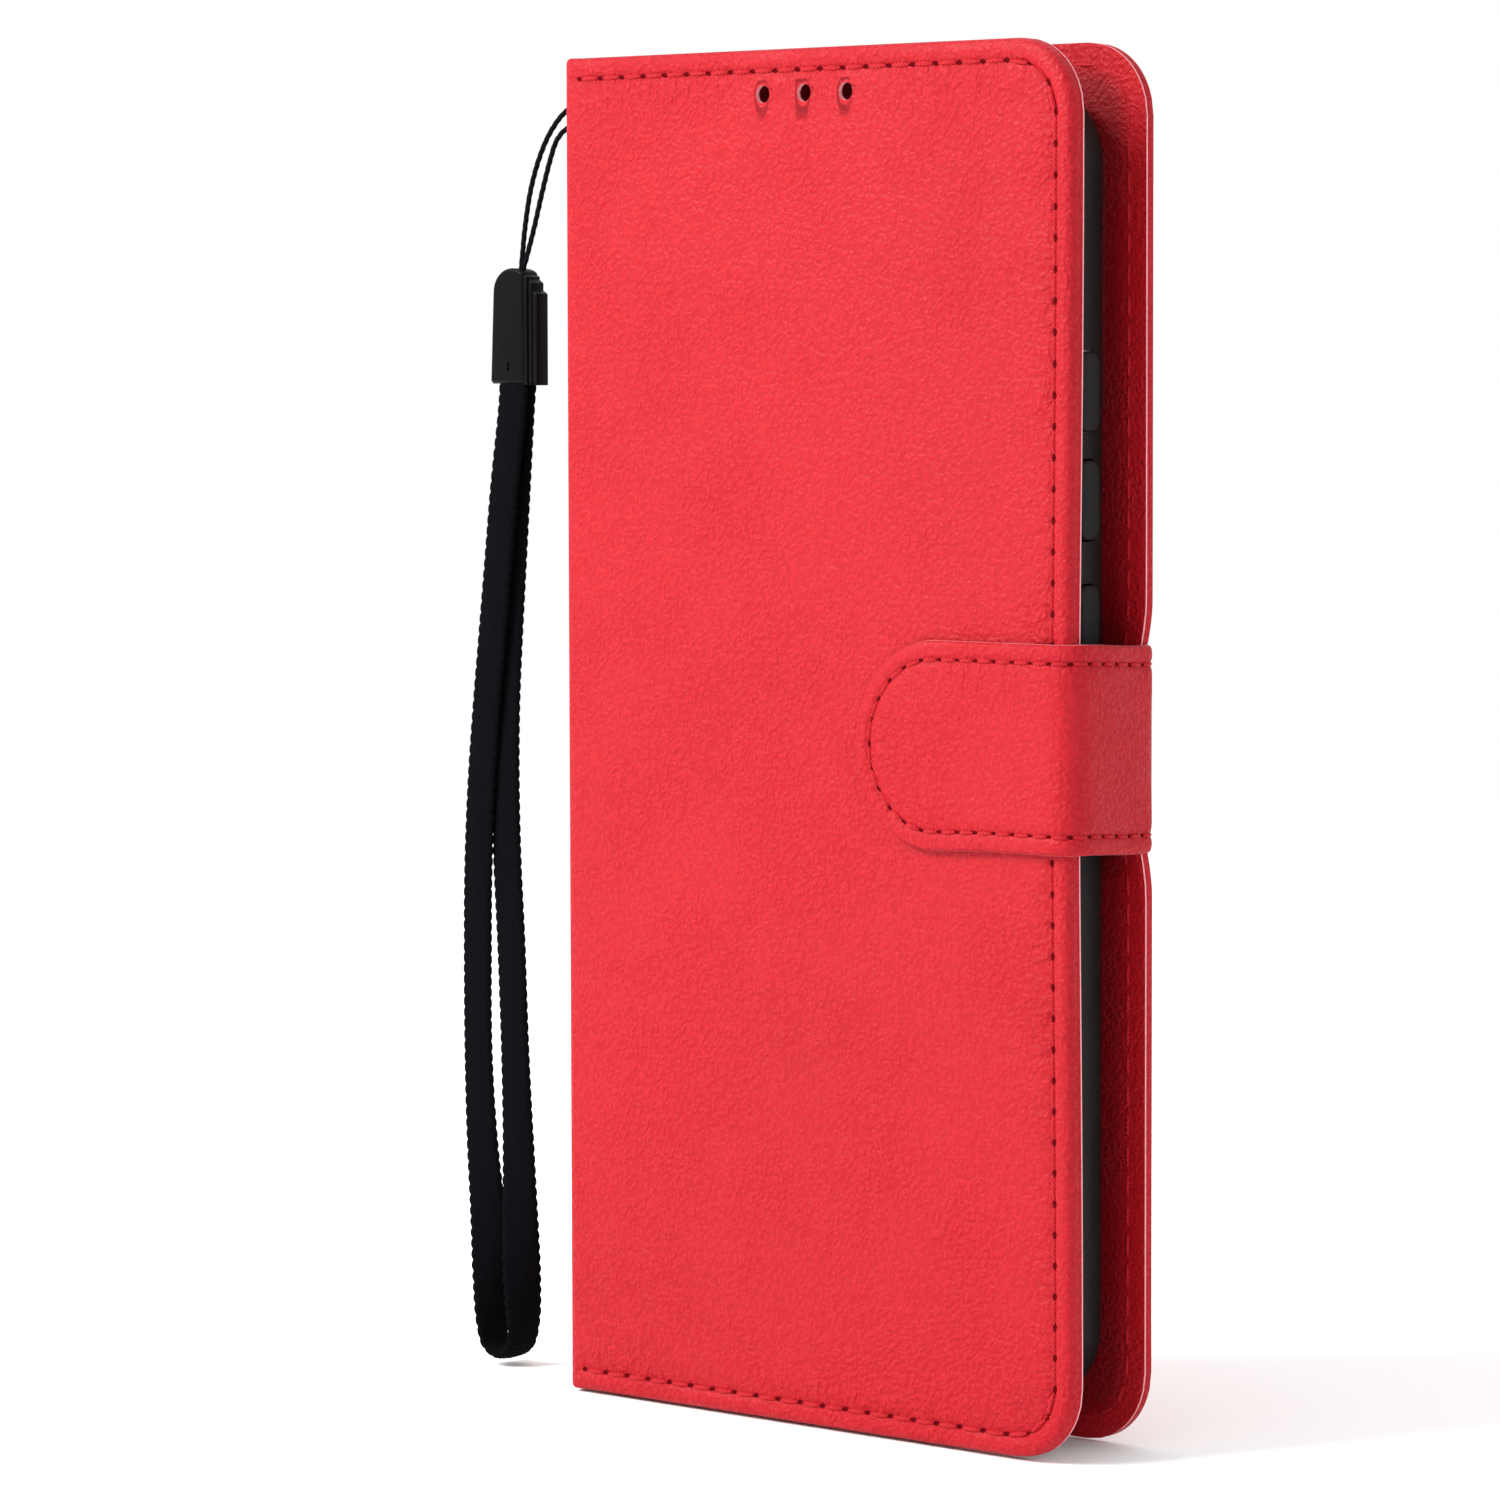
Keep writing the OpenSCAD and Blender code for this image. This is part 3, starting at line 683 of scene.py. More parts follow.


# %% [markdown]
# ## The covers
# Each cover's leather runs from the middle of the spine round the rounded hinge edge and across
# the cover to its free edge, where it is turned over the board. It is one sheet, as on the real
# case. The edge is a rolled rim, then the groove that the seam pulls down, then a slight swelling
# over the board.

# %% Where the sheets run
SPLIT, EDGE_OUT = -5.0, 0.3
INSETS = [0, .25, .5, .8, 1.2, 1.7, 2.1, 2.35, 2.6, 2.85, 3.2, 3.8, 4.8, 6.2]
RIM = [(0, -.5), (.25, -.14), (.8, .05), (1.5, .15), (2.1, .05), (2.6, -.26), (3.1, -.12), (3.8, -.01),
       (4.8, .06), (6.2, .1), (9, .06)]
SEAM_INSET, CORNER, HINGE_ROUND, SKIN, LINING = 2.6, 9.0, 1.5, 0.7, 0.6

front_track = Track([(0, SPLIT), (0, -depth), (width, -depth)], [HINGE_ROUND], -1)
back_edge = back_width + EDGE_OUT
back_track = Track([(0, SPLIT), (0, 0), (back_edge, 0)], [HINGE_ROUND], 1)


print(f"sheets {front_track.length:.1f} and {back_track.length:.1f} mm long from the middle of the spine")

# %% [markdown]
# Soft covers are never quite straight. The front cover's long edge bows inwards a little at half
# height, and the closed clasp pulls the back cover's edge towards the front. Both are small moves
# of the finished points, so every layer of a cover can follow the same one.

# %% Bends of the covers
WAIST, WAIST_SPREAD, PULL = 0.6, 42, 2.3
PULL_FROM, PULL_FULL, PULL_GONE = 76.0, -7.0, 5.5


def smooth_step(value, low, high):
    t = np.clip((np.asarray(value, float) - low) / (high - low), 0, 1)
    return t * t * (3 - 2 * t)


def slim_waist(points):
    """The front cover's long edge bows inwards."""
    moved = np.array(points, float)
    near_middle = np.exp(-((moved[:, 2] - clasp_middle) / WAIST_SPREAD) ** 2)
    moved[:, 0] -= WAIST * near_middle * smooth_step(moved[:, 0], 62, width)
    return moved


def pulled_in(points):
    """The clasp pulls the back cover's free edge towards the front."""
    moved = np.array(points, float)
    away = np.abs(moved[:, 2] - clasp_middle) - clasp_height / 2
    near_edge = smooth_step(moved[:, 0], PULL_FROM, back_width)
    moved[:, 1] -= PULL * near_edge * (1 - smooth_step(away, PULL_FULL, PULL_GONE))
    return moved


# %% [markdown]
# On the spine the sheet is one layer of leather with a plain edge. Over the board the rim rolls
# further, because it has to reach round the board, and a little way on the two shapes blend into
# each other. The front board is thick, the back one thin, and their rims roll accordingly.

# %% The leather of a cover
STITCH_PITCH, THICK_ROLL, THIN_ROLL = 3.7, 1.64, 0.5


def cover_sheet(name, track, thick, bend, fold_length):
    """The outer leather of one cover with its half of the spine, and its needle holes."""
    grid = Grid(track.length, 0, height, CORNER, INSETS, 0.617)
    cover = smooth_step(grid.u, fold_length - 1, fold_length + 3)
    board = thick - LINING
    roll = THICK_ROLL if board > 1.5 else THIN_ROLL
    holes = seam_holes(track.length, 0, height, CORNER, SEAM_INSET, fold_length + 2.2, STITCH_PITCH)
    shape = profile(grid.inset, RIM) * np.where(grid.inset < 0.8, roll, 1.0)
    at_spine = profile(grid.inset, [(0, -.35), (.25, -.1), (.6, 0)])
    top = shape * cover + at_spine * (1 - cover)
    turned_in = -board + 0.02
    inner = np.where(grid.inset < 1.5, turned_in, -SKIN) * cover - SKIN * (1 - cover)
    rim_cover = cover.reshape(-1)[np.array(grid.rim())]
    edge_depth = rim_cover - SKIN / turned_in * (1 - rim_cover)
    bands = [(0.03, -0.70 * board * edge_depth, 0), (0.0, -0.93 * board * edge_depth, 0)]
    made = lay_sheet(name, track, grid, top, inner, bands, [cover_leather, pale_edge], 0, bend,
                     dents(grid, holes, 0.34, 0.5))
    return made, holes


front_leather, front_holes = cover_sheet("front cover leather", front_track, front_thick,
                                         slim_waist, depth + SPLIT)
back_leather, back_holes = cover_sheet("back cover leather", back_track, back_thick,
                                       pulled_in, -SPLIT)
print("needle holes:", len(front_holes), "front,", len(back_holes), "back")

# %% [markdown]
# The front cover has a row of three holes over the phone's earpiece, the back cover has the camera
# opening, and the spine has two tiny holes for the wrist cord. Each is cut with a solid, and the
# cut shows the leather's pale core.

# %% Openings in the leather
HOLE, PITCH, ROW = 2.2, 6.8, height - 5.5
hole_middle = width / 2 - 0.5
speaker_places = [hole_middle + k * PITCH for k in (-1, 0, 1)]
shell_right, shell_top = shell_high[0], shell_high[2]
camera_hole = (shell_right - 34, shell_right - 4, shell_top - 43, shell_top - 5)


def speaker_cutters(y0, y1):
    half = HOLE / 2
    return [cutter(1, y0, y1, (x - half, x + half, ROW - half, ROW + half), half - 0.001, pale_edge, 8)
            for x in speaker_places]


def camera_cutter(y0, y1, grow=0.0, material=pale_edge):
    x0, x1, z0, z1 = camera_hole
    return cutter(1, y0, y1, (x0 - grow, x1 + grow, z0 - grow, z1 + grow), 6 + grow, material)


def cord_hole(z):
    """A small round cutter through the spine."""
    turns = np.linspace(0, 2 * math.pi, 16, endpoint=False)
    ring = np.column_stack([spine_middle + 0.65 * np.cos(turns), z + 0.65 * np.sin(turns)])
    return pushed("cutter", ring, 0, -1.0, 2.5, pale_edge)


spine_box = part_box("spine_skin")
spine_middle = (case_mm(spine_box[0])[1] + case_mm(spine_box[1])[1]) / 2
UPPER_HOLE, LOWER_HOLE = height - 4.5, height - 7.9
carve(front_leather, *speaker_cutters(-depth - 1, -depth + 2.0), cord_hole(UPPER_HOLE),
      cord_hole(LOWER_HOLE))
carve(back_leather, camera_cutter(-1.5, 1.0))
for piece, body, nodes, start, end in (
        (front_leather, "front_cover", ("front_skin", "spine_skin"), (0, -depth + 4.0), (3.2, -depth)),
        (back_leather, "back_cover", ("back_skin",), (0, -3.6), (3.2, 0))):
    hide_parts(*nodes)
    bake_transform(piece)
    print(piece.name, len(piece.data.polygons), "faces")

# %% [markdown]
# The seam is one object on each cover: short raised bridges of thread, pinched where they dive into
# the holes, and a pit at every hole painted dark as shade. It lies in the groove of the leather.

# %% Seams of the covers
GROOVE, THREAD = -0.19, 0.34
front_seam = stitches("front cover seam", front_track, front_holes, GROOVE, THREAD, slim_waist, rise=0.1)
back_seam = stitches("back cover seam", back_track, back_holes, GROOVE, THREAD, pulled_in, rise=0.1)
for seam, body, node in ((front_seam, "front_cover", "front_stitching"),
                         (back_seam, "back_cover", "back_stitching")):
    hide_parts(node)
    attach(seam, body)
print("seams:", len(front_seam.data.polygons), "and", len(back_seam.data.polygons), "faces")

# %% [markdown]
# The lining is a thinner, smoother leather on the inside. It runs from the covers round into the
# spine as well. Its edge was cut flush with the turned leather, so that its pale core is the thin
# bright line along each edge of the case.

# %% Lining
LINING_INSETS = [0, .3, .8, 1.6, 2.8, 4.2, 6.2]


def lining_sheet(name, track, bend):
    grid = Grid(track.length, 0, height, CORNER, LINING_INSETS, 2.2)
    bands = [(0.03, -0.05, 2), (0.05, -0.30, 2), (0.04, -0.53, 1)]
    inner = -LINING + profile(grid.inset, [(0, .06), (.8, 0), (2, .02), (2.6, .07), (3.4, 0)])
    return lay_sheet(name, track, grid, np.zeros(grid.shape), inner, bands,
                     [lining_leather, pale_edge, cover_leather], 0, bend)


front_inside, back_inside = -depth + front_thick - LINING, -back_thick + LINING
front_lining_track = Track([(SKIN, SPLIT), (SKIN, front_inside), (width, front_inside)], [1.4], -1)
back_lining_track = Track([(SKIN, SPLIT), (SKIN, back_inside), (back_edge, back_inside)], [1.0], 1)
front_lining = lining_sheet("front cover lining", front_lining_track, slim_waist)
back_lining = lining_sheet("back cover lining", back_lining_track, pulled_in)
carve(front_lining, *speaker_cutters(-depth + 1.0, -depth + 4.0), cord_hole(UPPER_HOLE),
      cord_hole(LOWER_HOLE))
carve(back_lining, camera_cutter(-3.0, 0.5))
for piece, body, nodes, start, end in (
        (front_lining, "front_cover", ("front_lining", "spine_lining"), (0, -depth + 4.0), (3.2, -depth)),
        (back_lining, "back_cover", ("back_lining",), (0, -3.6), (3.2, 0))):
    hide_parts(*nodes)
    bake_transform(piece)
print("linings:", len(front_lining.data.polygons), "and", len(back_lining.data.polygons), "faces")

# %% [markdown]
# Through the three holes one would look at the bare board between leather and lining. On the real
# case the holes are dark with shade, so each has a thin sleeve painted near-black as that shade,
# which hides the board. A sleeve is four rings of points, joined round so that its wall is closed.

# %% Sleeves of the speaker holes
SLEEVE_IN, SLEEVE_OUT, SLEEVE_POINTS = 1.09, 1.35, 20
near, far = -depth + .45, -depth + 2.35
turns = np.linspace(0, 2 * math.pi, SLEEVE_POINTS, endpoint=False)
rings, faces = [], []
for x in speaker_places:
    faces += ring_faces(4, SLEEVE_POINTS, len(rings) * SLEEVE_POINTS, closed=True)
    for radius, y in ((SLEEVE_IN, near), (SLEEVE_IN, far), (SLEEVE_OUT, far), (SLEEVE_OUT, near)):
        rings.append(np.column_stack([x + radius * np.cos(turns), np.full(SLEEVE_POINTS, y),
                                      ROW + radius * np.sin(turns)]))
# Painted shade: the sleeves are near-black to stand for the shade inside the holes.
sleeves = mesh_piece("speaker hole sleeves", np.concatenate(rings), faces, [shade_of_holes])
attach(sleeves, "front_cover")
print("sleeves:", len(speaker_places))

# %% [markdown]
# The same seam comes out on the inside, through the lining, where its stitches are smaller and lie
# flatter.

# %% Seams on the lining
for name, edge, face, side, bend, body in (
        ("front cover inner seam", width, -depth + front_thick, 1, slim_waist, "front_cover"),
        ("back cover inner seam", back_edge, -back_thick, -1, pulled_in, "back_cover")):
    reverse = Track([(0, face), (edge, face)], [], side)
    holes = seam_holes(edge, 0, height, CORNER, SEAM_INSET, 4.2, STITCH_PITCH)
    seam = stitches(name, reverse, holes, 0.0, 0.2, bend, rise=0.10)
    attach(seam, body)
print("inner seams:", len(seam.data.polygons), "faces each")

# %% [markdown]
# The back cover's board follows the pull of the clasp as well, so it is laid again with the same
# bend. The front cover's board keeps the shape it has in the model.

# %% Back board
board_track = Track([(3.0, -SKIN), (back_width - 1.5, -SKIN)], [], 1)
board_grid = Grid(board_track.length, 1.5, height - 1.5, CORNER - 1.5, [0, 1, 2.5, 5], 2.5)
back_board = lay_sheet("back board sheet", board_track, board_grid, np.full(board_grid.shape, -0.02),
                       np.full(board_grid.shape, -0.38), [(0, -0.1, 0), (0, -0.3, 0)], [grey_board], 0,
                       pulled_in)
carve(back_board, camera_cutter(-3.0, 0.5, 0.02, grey_board))
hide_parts("back_board")
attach(back_board, "back_cover")
print("back board:", len(back_board.data.polygons), "faces")

# %% [markdown]
# ## Pockets
# Inside the front cover a wide cash pocket lies under three card pockets, which step down so that
# each mouth shows. They are thin leather with a rolled mouth and a seam along the edges, so the
# sheets and stitches of the covers serve again, each as large as its node in the model.

# %% Cash pocket and card pockets
POCKET_CORNER, POCKET_SEAM = 1.95, 1.5
POCKET_RIM = [(0, -.25), (.3, -.05), (.8, 0), (1.2, 0), (1.5, -.1), (1.9, 0), (4, .0)]
for node, pitch in (("cash_pocket", 3.2), ("card_pocket_low", 3.0), ("card_pocket_middle", 3.0),
                    ("card_pocket_high", 3.0)):
    low, high = (case_mm(end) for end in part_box(node))
    thick = high[1] - low[1]
    track = Track([(low[0], high[1] - 0.02), (high[0], high[1] - 0.02)], [], 1)
    grid = Grid(track.length, low[2], high[2], POCKET_CORNER, [0, .3, .6, .9, 1.2, 1.5], 1.1)
    holes = seam_holes(track.length, low[2], high[2], POCKET_CORNER, POCKET_SEAM, POCKET_SEAM, pitch)
    pocket = lay_sheet(node + " leather", track, grid, profile(grid.inset, POCKET_RIM),
                       np.full(grid.shape, -thick + 0.04), [(0.02, -0.5 * thick, 1), (0, -0.7 * thick, 0)],
                       [pocket_leather, pale_edge], 0)
    seam = stitches(node + " seam", track, holes, -0.1, 0.16, rise=0.06)
    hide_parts(node)
    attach(pocket, "front_cover")
    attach(seam, "front_cover")
print("pockets with", len(holes), "holes in the last one")

# %% [markdown]
# ## Phone shell
# The shell is a moulded tray. Its section, from the middle of the back, round the side, over the
# lip that holds the phone, and down to the inner floor, is swept round a rounded rectangle. The
# camera opening, the ports and the windows of the keys are cut out of it.

# %% Shell
x0, y_front, z0 = shell_low
x1, y_back, z1 = shell_high
deep = y_back - y_front
SECTION = [(4.6, 0), (3.2, .12), (2.1, .5), (1.1, 1.25), (.45, 2.2), (.1, 3.4), (0, 4.8), (0, 6.4),
           (.05, 7.8), (.2, deep - 1.5), (.5, deep - .7), (.95, deep - .18), (1.5, deep), (2.1, deep),
           (2.4, deep - .15), (2.5, deep - .5), (2.5, deep - .95), (2.2, deep - 1.05), (1.6, deep - 1.1),
           (1.5, deep - 1.4), (1.5, 3.0), (1.7, 2.0), (2.4, 1.35), (3.4, 1.2)]
outline, outward = rounded_outline(x0, x1, z0, z1, 9.0, 14, 3.0)
rings = [np.insert(outline - outward * inset, 1, y_back - forward, axis=1) for inset, forward in SECTION]
faces = ring_faces(len(rings), len(outline)) + end_faces(len(rings), len(outline))
shell = mesh_piece("phone shell moulding", np.concatenate(rings), faces, [soft_shell], sharp=50)


# %% [markdown]
# The charging port, the loudspeaker slot and the microphone hole go through the shell's ends, each
# pushed upwards, and the windows of the keys go through its side.

# %% Ports and windows of the shell
PORT_HALF, WINDOW_HALF, WINDOW_ROUND, WINDOW_HEIGHT, WINDOW_GAP = 2.3, 2.0, 1.5, 9.6, 0.2
middle_x, middle_y = (x0 + x1) / 2, (y_front + 1.0 + y_back - 1.2) / 2
keys = {body: [case_mm(end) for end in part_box(body + "_key")]
        for body in ("volume_up", "volume_down", "power")}
cutters = [camera_cutter(y_back - 4.0, y_back + 1.0, material=soft_shell)]
for left, right, half, low, high, radius in (
        (middle_x - 6, middle_x + 6, PORT_HALF, z0 - 1, z0 + 3, 1.6),
        (middle_x + 13.5, middle_x + 24.5, PORT_HALF, z0 - 1, z0 + 3, 1.6),
        (middle_x - 20, middle_x - 18, 1, z1 - 3, z1 + 1, 0.99)):
    sides = (left, right, middle_y - half, middle_y + half)
    cutters.append(cutter(2, low, high, sides, radius, soft_shell, 6))
for low, high in keys.values():
    key_y, key_low = (low[1] + high[1]) / 2, max(low[2], high[2] - WINDOW_HEIGHT)
    sides = (key_y - WINDOW_HALF, key_y + WINDOW_HALF, key_low - WINDOW_GAP, high[2] + WINDOW_GAP)
    cutters.append(cutter(0, x1 - 2.2, x1 + 1, sides, WINDOW_ROUND, soft_shell, 6))
carve(shell, *cutters)
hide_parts("phone_shell")
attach(shell, "back_cover")
print("shell:", len(shell.data.polygons), "faces, keys from",
      [round(float(low[2]), 1) for low, high in keys.values()], "mm up")

# %% [markdown]
# The keys are soft pads that stand a little proud of the side. Each is a rounded outline that rises
# in rings to a gently domed top, and each rides on its own sliding body.

# %% Key pads
PAD_DOME = ((0, .45), (.08, .2), (.28, .06), (.6, .01), (1.2, 0))
for body, (low, high) in keys.items():
    outline, outward = rounded_outline(low[1], high[1], low[2], high[2], 1.45, 8, 0.8)
    crown = [(0, low[0]), *((inset, high[0] - down) for inset, down in PAD_DOME)]
    rings = [np.insert(outline - outward * inset, 0, x, axis=1) for inset, x in crown]
    faces = ring_faces(len(rings), len(outline)) + end_faces(len(rings), len(outline))
    pad = mesh_piece(body.replace("_", " ") + " pad", np.concatenate(rings), faces, [key_plastic], sharp=60)
    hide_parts(body + "_key")
    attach(pad, body)
print("key pads:", list(keys))

# %% [markdown]
# ## Clasp strap
# The strap is one band from its round end on the back, round the opening edge, to its round end
# on the front. Two sheets meet in the middle of the bridge, each bending at one soft fold. Its
# edge is cut, so a thin pale line runs between the outer leather and its lining.

# %% Strap
STRAP = 1.1
strap_front, strap_back = clasp_low[1], base_high[1]
bridge_right = case_mm(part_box("clasp_bridge_skin")[1])[0]
STRAP_INSETS = [0, .15, .35, .7, 1.1, 1.5, 1.85, 2.05, 2.2, 2.35, 2.6, 3.0, 3.6, 4.4, 5.3, 6.3, 7.4, 8.6,
                9.9, 11.2]
STRAP_RIM = [(0, -.30), (.15, -.14), (.35, -.04), (.8, .04), (1.3, .06), (1.8, .0), (2.2, -.2),
             (2.65, -.02), (3.4, .05), (5, .04), (8, 0)]
STRAP_BANDS = [(0.03, -0.48, 0), (0.05, -0.56, 1), (0.05, -0.70, 1), (0.03, -0.78, 2), (0.0, -0.98, 2)]
STRAP_SEAM, STRAP_PITCH = 2.2, 2.9
MEET = (bridge_right - 0.9, -9.8)
tip_track = Track([MEET, (bridge_right, strap_front), (clasp_low[0], strap_front)], [4.6], 1)
base_track = Track([MEET, (82.9, -1.15), (76.6, strap_back), (base_low[0], strap_back)], [1.8, 3.0], -1)


STRAP_LIFT = 0.6


def lifted(points):
    """The strap bows up a little round the front edge."""
    moved = np.array(points, float)
    share = (moved[:, 2] - clasp_low[2]) / clasp_height
    end = smooth_step(74 - moved[:, 0], 0, 20) * (1 - share)
    moved[:, 2] += STRAP_LIFT * smooth_step(-moved[:, 1], 3, 17) * (1 - end)
    return moved


def strap_sheet(name, track):
    low, high, radius = clasp_low[2], clasp_high[2], clasp_height / 2
    grid = Grid(track.length, low, high, radius, STRAP_INSETS, 0.5)
    holes = seam_holes(track.length, low, high, radius, STRAP_SEAM, 0.0, STRAP_PITCH)
    made = lay_sheet(name, track, grid, profile(grid.inset, STRAP_RIM), np.full(grid.shape, -STRAP),
                     STRAP_BANDS, [strap_leather, pale_edge, lining_leather], 2, lifted,
                     dents(grid, holes, 0.26, 0.42))
    seam = stitches(name + " seam", track, holes, -0.12, 0.27, lifted, rise=0.13)
    return made, seam


tip, tip_seam = strap_sheet("clasp front half", tip_track)
base, base_seam = strap_sheet("clasp back half", base_track)
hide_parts("clasp_tip_skin", "clasp_tip_lining")
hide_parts("clasp_base_skin", "clasp_base_lining", "clasp_bridge_skin", "clasp_bridge_lining")
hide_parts("clasp_tip_stitching")
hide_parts("clasp_base_stitching")
for piece in (tip, tip_seam):
    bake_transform(piece)
for piece in (base, base_seam):
    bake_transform(piece)
print("strap:", len(tip.data.polygons), "and", len(base.data.polygons), "faces")

# %% [markdown]
# ## Wrist strap
# A thin cord passes through the two holes in the spine, and its ends go into a crimp cap, with
# the webbing's ends in the other side. Both hang freely. A simulated rope would not hang just so,
# so the routes are lists of stops, measured from the upper hole. The webbing's stops also give the
# direction, in degrees, in which its flat side turns on the way down and up again.

# %% Routes of the wrist strap
origin = np.array([0.0, spine_middle, UPPER_HOLE])
CORD = [(-17.2, .5, -23), (-16.7, .4, -20), (-16.2, .4, -16.4), (-15.1, .3, -11.8), (-13.4, .2, -7.6),
        (-11.2, .1, -4.2), (-8.4, 0, -1.7), (-5, 0, -.4), (-2, 0, 0), (.4, 0, 0), (1.7, 0, -.5),
        (2.2, 0, -1.7), (1.7, 0, -2.9), (.4, 0, -3.4), (-2, 0, -3.4), (-5, 0, -3.3), (-7.8, 0, -3.7),
        (-9.8, -.1, -5.2), (-11, -.2, -7.8), (-12.4, -.3, -12), (-13.8, -.4, -16.6), (-15.2, -.4, -20.4),
        (-16.2, -.5, -23)]
DOWN = [(-17.2, -.8, -36, 0), (-17.5, -.8, -40, 0), (-18.9, -.9, -50, 0), (-20.2, -.8, -60, 0),
        (-21.5, -.7, -70, 0), (-22.8, -.6, -80, 0), (-23.9, -.5, -90, 0), (-24.6, -.4, -100, 0),
        (-24.9, -.3, -110, 0), (-25, -.2, -124, 0), (-24.4, -.2, -136, 8), (-23.5, -.1, -146, 24),
        (-23, 0, -155, 50), (-22.9, 0, -160.4, 78), (-22.2, 0, -163.3, 88), (-20, 0, -164.4, 90)]
UP = [(-17.8, 0, -163.3, 88), (-17.1, 0, -160.4, 78), (-17.3, 0, -155, 50), (-17.7, .1, -146, 24),
      (-18.1, .2, -136, 8), (-18.6, .2, -124, 0), (-19.3, .3, -110, 0), (-20, .4, -100, 0),
      (-20.4, .5, -90, 0), (-20.4, .6, -80, 0), (-19.9, .7, -70, 0), (-19.2, .8, -60, 0),
      (-18.5, .9, -50, 0), (-17.6, .8, -40, 0), (-17.2, .8, -36, 0)]
print("stops:", len(CORD), "on the cord,", len(DOWN) + len(UP), "on the webbing")


# %% [markdown]
# A smooth curve goes through the stops, and a section is swept along it. The section may change
# from ring to ring, so a twisted cord and a braid with a scalloped edge come from the same sweep.

# %% Sweeping a section along a route
def smooth_route(stops, step):
    """A smooth line through the stops, at even steps along it."""
    stops = np.array(stops, float)
    ends = np.concatenate([[stops[0]], stops, [stops[-1]]])
    t = np.linspace(0, 1, 24, endpoint=False)[:, None]
    line = []
    for before, here, after, beyond in zip(ends, ends[1:], ends[2:], ends[3:]):
        line.append(0.5 * (2 * here + (after - before) * t
                           + (2 * before - 5 * here + 4 * after - beyond) * t ** 2
                           + (3 * here - before - 3 * after + beyond) * t ** 3))
    line = np.concatenate([*line, [stops[-1]]])
    run = np.concatenate([[0], np.cumsum(np.linalg.norm(np.diff(line[:, :3], axis=0), axis=1))])
    even = np.linspace(0, run[-1], int(run[-1] / step) + 1)
    return np.stack([np.interp(even, run, line[:, k]) for k in range(line.shape[1])], 1), even


def tube(name, places, ways, section, material):
    """Rings of the section's (across, up) offsets along a line, closed at both ends."""
    ahead = np.gradient(places, axis=0)
    ahead /= np.linalg.norm(ahead, axis=1)[:, None]
    across = ways - np.sum(ways * ahead, 1)[:, None] * ahead
    across /= np.linalg.norm(across, axis=1)[:, None]
    up = np.cross(ahead, across)
    rings = places[:, None] + across[:, None] * section[..., :1] + up[:, None] * section[..., 1:]
    count, around = rings.shape[:2]
    faces = ring_faces(count, around) + end_faces(count, around)
    return mesh_piece(name, rings.reshape(-1, 3), faces, [material], sharp=180)


# %% [markdown]
# The cord is laid as a rope of three strands: its section has three lobes that turn as they go.

# %% Thin cord
CORD_RADIUS, LAY_LENGTH = 0.35, 3.6
line, even = smooth_route(CORD, 0.13)
angles = np.linspace(0, 2 * math.pi, 15, endpoint=False)
twist = angles[None] + even[:, None] * 2 * math.pi / LAY_LENGTH
lobes = CORD_RADIUS * (0.80 + 0.22 * np.abs(np.cos(1.5 * twist)))
section = np.stack([lobes * np.cos(angles), lobes * np.sin(angles)], -1)
cord_path, cord_length = origin + line, even[-1]
cord = tube("thin cord", cord_path, np.tile([0.02, 1.0, 0.01], (len(line), 1)), section, cord_yarn)
print(f"cord {cord_length:.1f} mm long")

# %% [markdown]
# The webbing is a flat braid, 5 mm wide, whose yarns cross in diamonds. Two slanted waves multiplied
# with each other give the diamonds on its flat sides, and the same pitch scallops its edges, which
# is what shows of a black braid against a white room.

# %% Webbing
BRAID_HALF, BRAID_PITCH, SQUARENESS = 2.5, 1.45, 0.75
line, even = smooth_route(DOWN + UP, 0.2)
turn = np.radians(line[:, 3])
angles = np.linspace(0, 2 * math.pi, 32, endpoint=False)
over, through = (np.sign(part) * np.abs(part) ** SQUARENESS for part in (np.cos(angles), np.sin(angles)))
along = even[:, None] / BRAID_PITCH
crossing = np.sin(2 * math.pi * (along + 1.25 * over)) * np.sin(2 * math.pi * (along - 1.25 * over))
scallop = 0.93 + 0.09 * np.abs(np.cos(math.pi * along))
section = np.stack([BRAID_HALF * over * scallop, through * (0.57 + 0.1 * crossing)], -1)
ways = np.stack([np.cos(turn), np.sin(turn), np.zeros(len(line))], 1)
webbing_path, webbing_length = origin + line[:, :3], even[-1]
webbing = tube("webbing loop", webbing_path, ways, section, webbing_yarn)
print(f"webbing {webbing_length:.1f} mm long")

# %% [markdown]
# The crimp cap is a small flat moulding: a face plate with a domed top, and beside it three ribs
# with grooves between them, which step down towards the side. Its shapes are all upright outlines,
# so each is pushed through the cap's thickness and its edges are rounded with a bevel.

# %% Crimp cap
crimp_low, crimp_high = (case_mm(end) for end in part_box("lanyard_crimp"))


def plate(name, outline, y0, y1, round_edge):
    """An upright outline as thick as from y0 to y1, with rounded edges."""
    made = pushed(name, outline, 1, y0, y1, cap_plastic)
    work = bmesh.new()
    work.from_mesh(made.data)
    edges = [edge for edge in work.edges if abs(edge.verts[0].co.y - edge.verts[1].co.y) < 1e-7]
    bmesh.ops.bevel(work, geom=edges, offset=round_edge * MM, segments=4, profile=0.5, affect="EDGES",
                    clamp_overlap=True)
    work.to_mesh(made.data)
    work.free()
    made.data.polygons.foreach_set("use_smooth", np.ones(len(made.data.polygons), bool))
    made.data.set_sharp_from_angle(angle=math.radians(35))
    return made


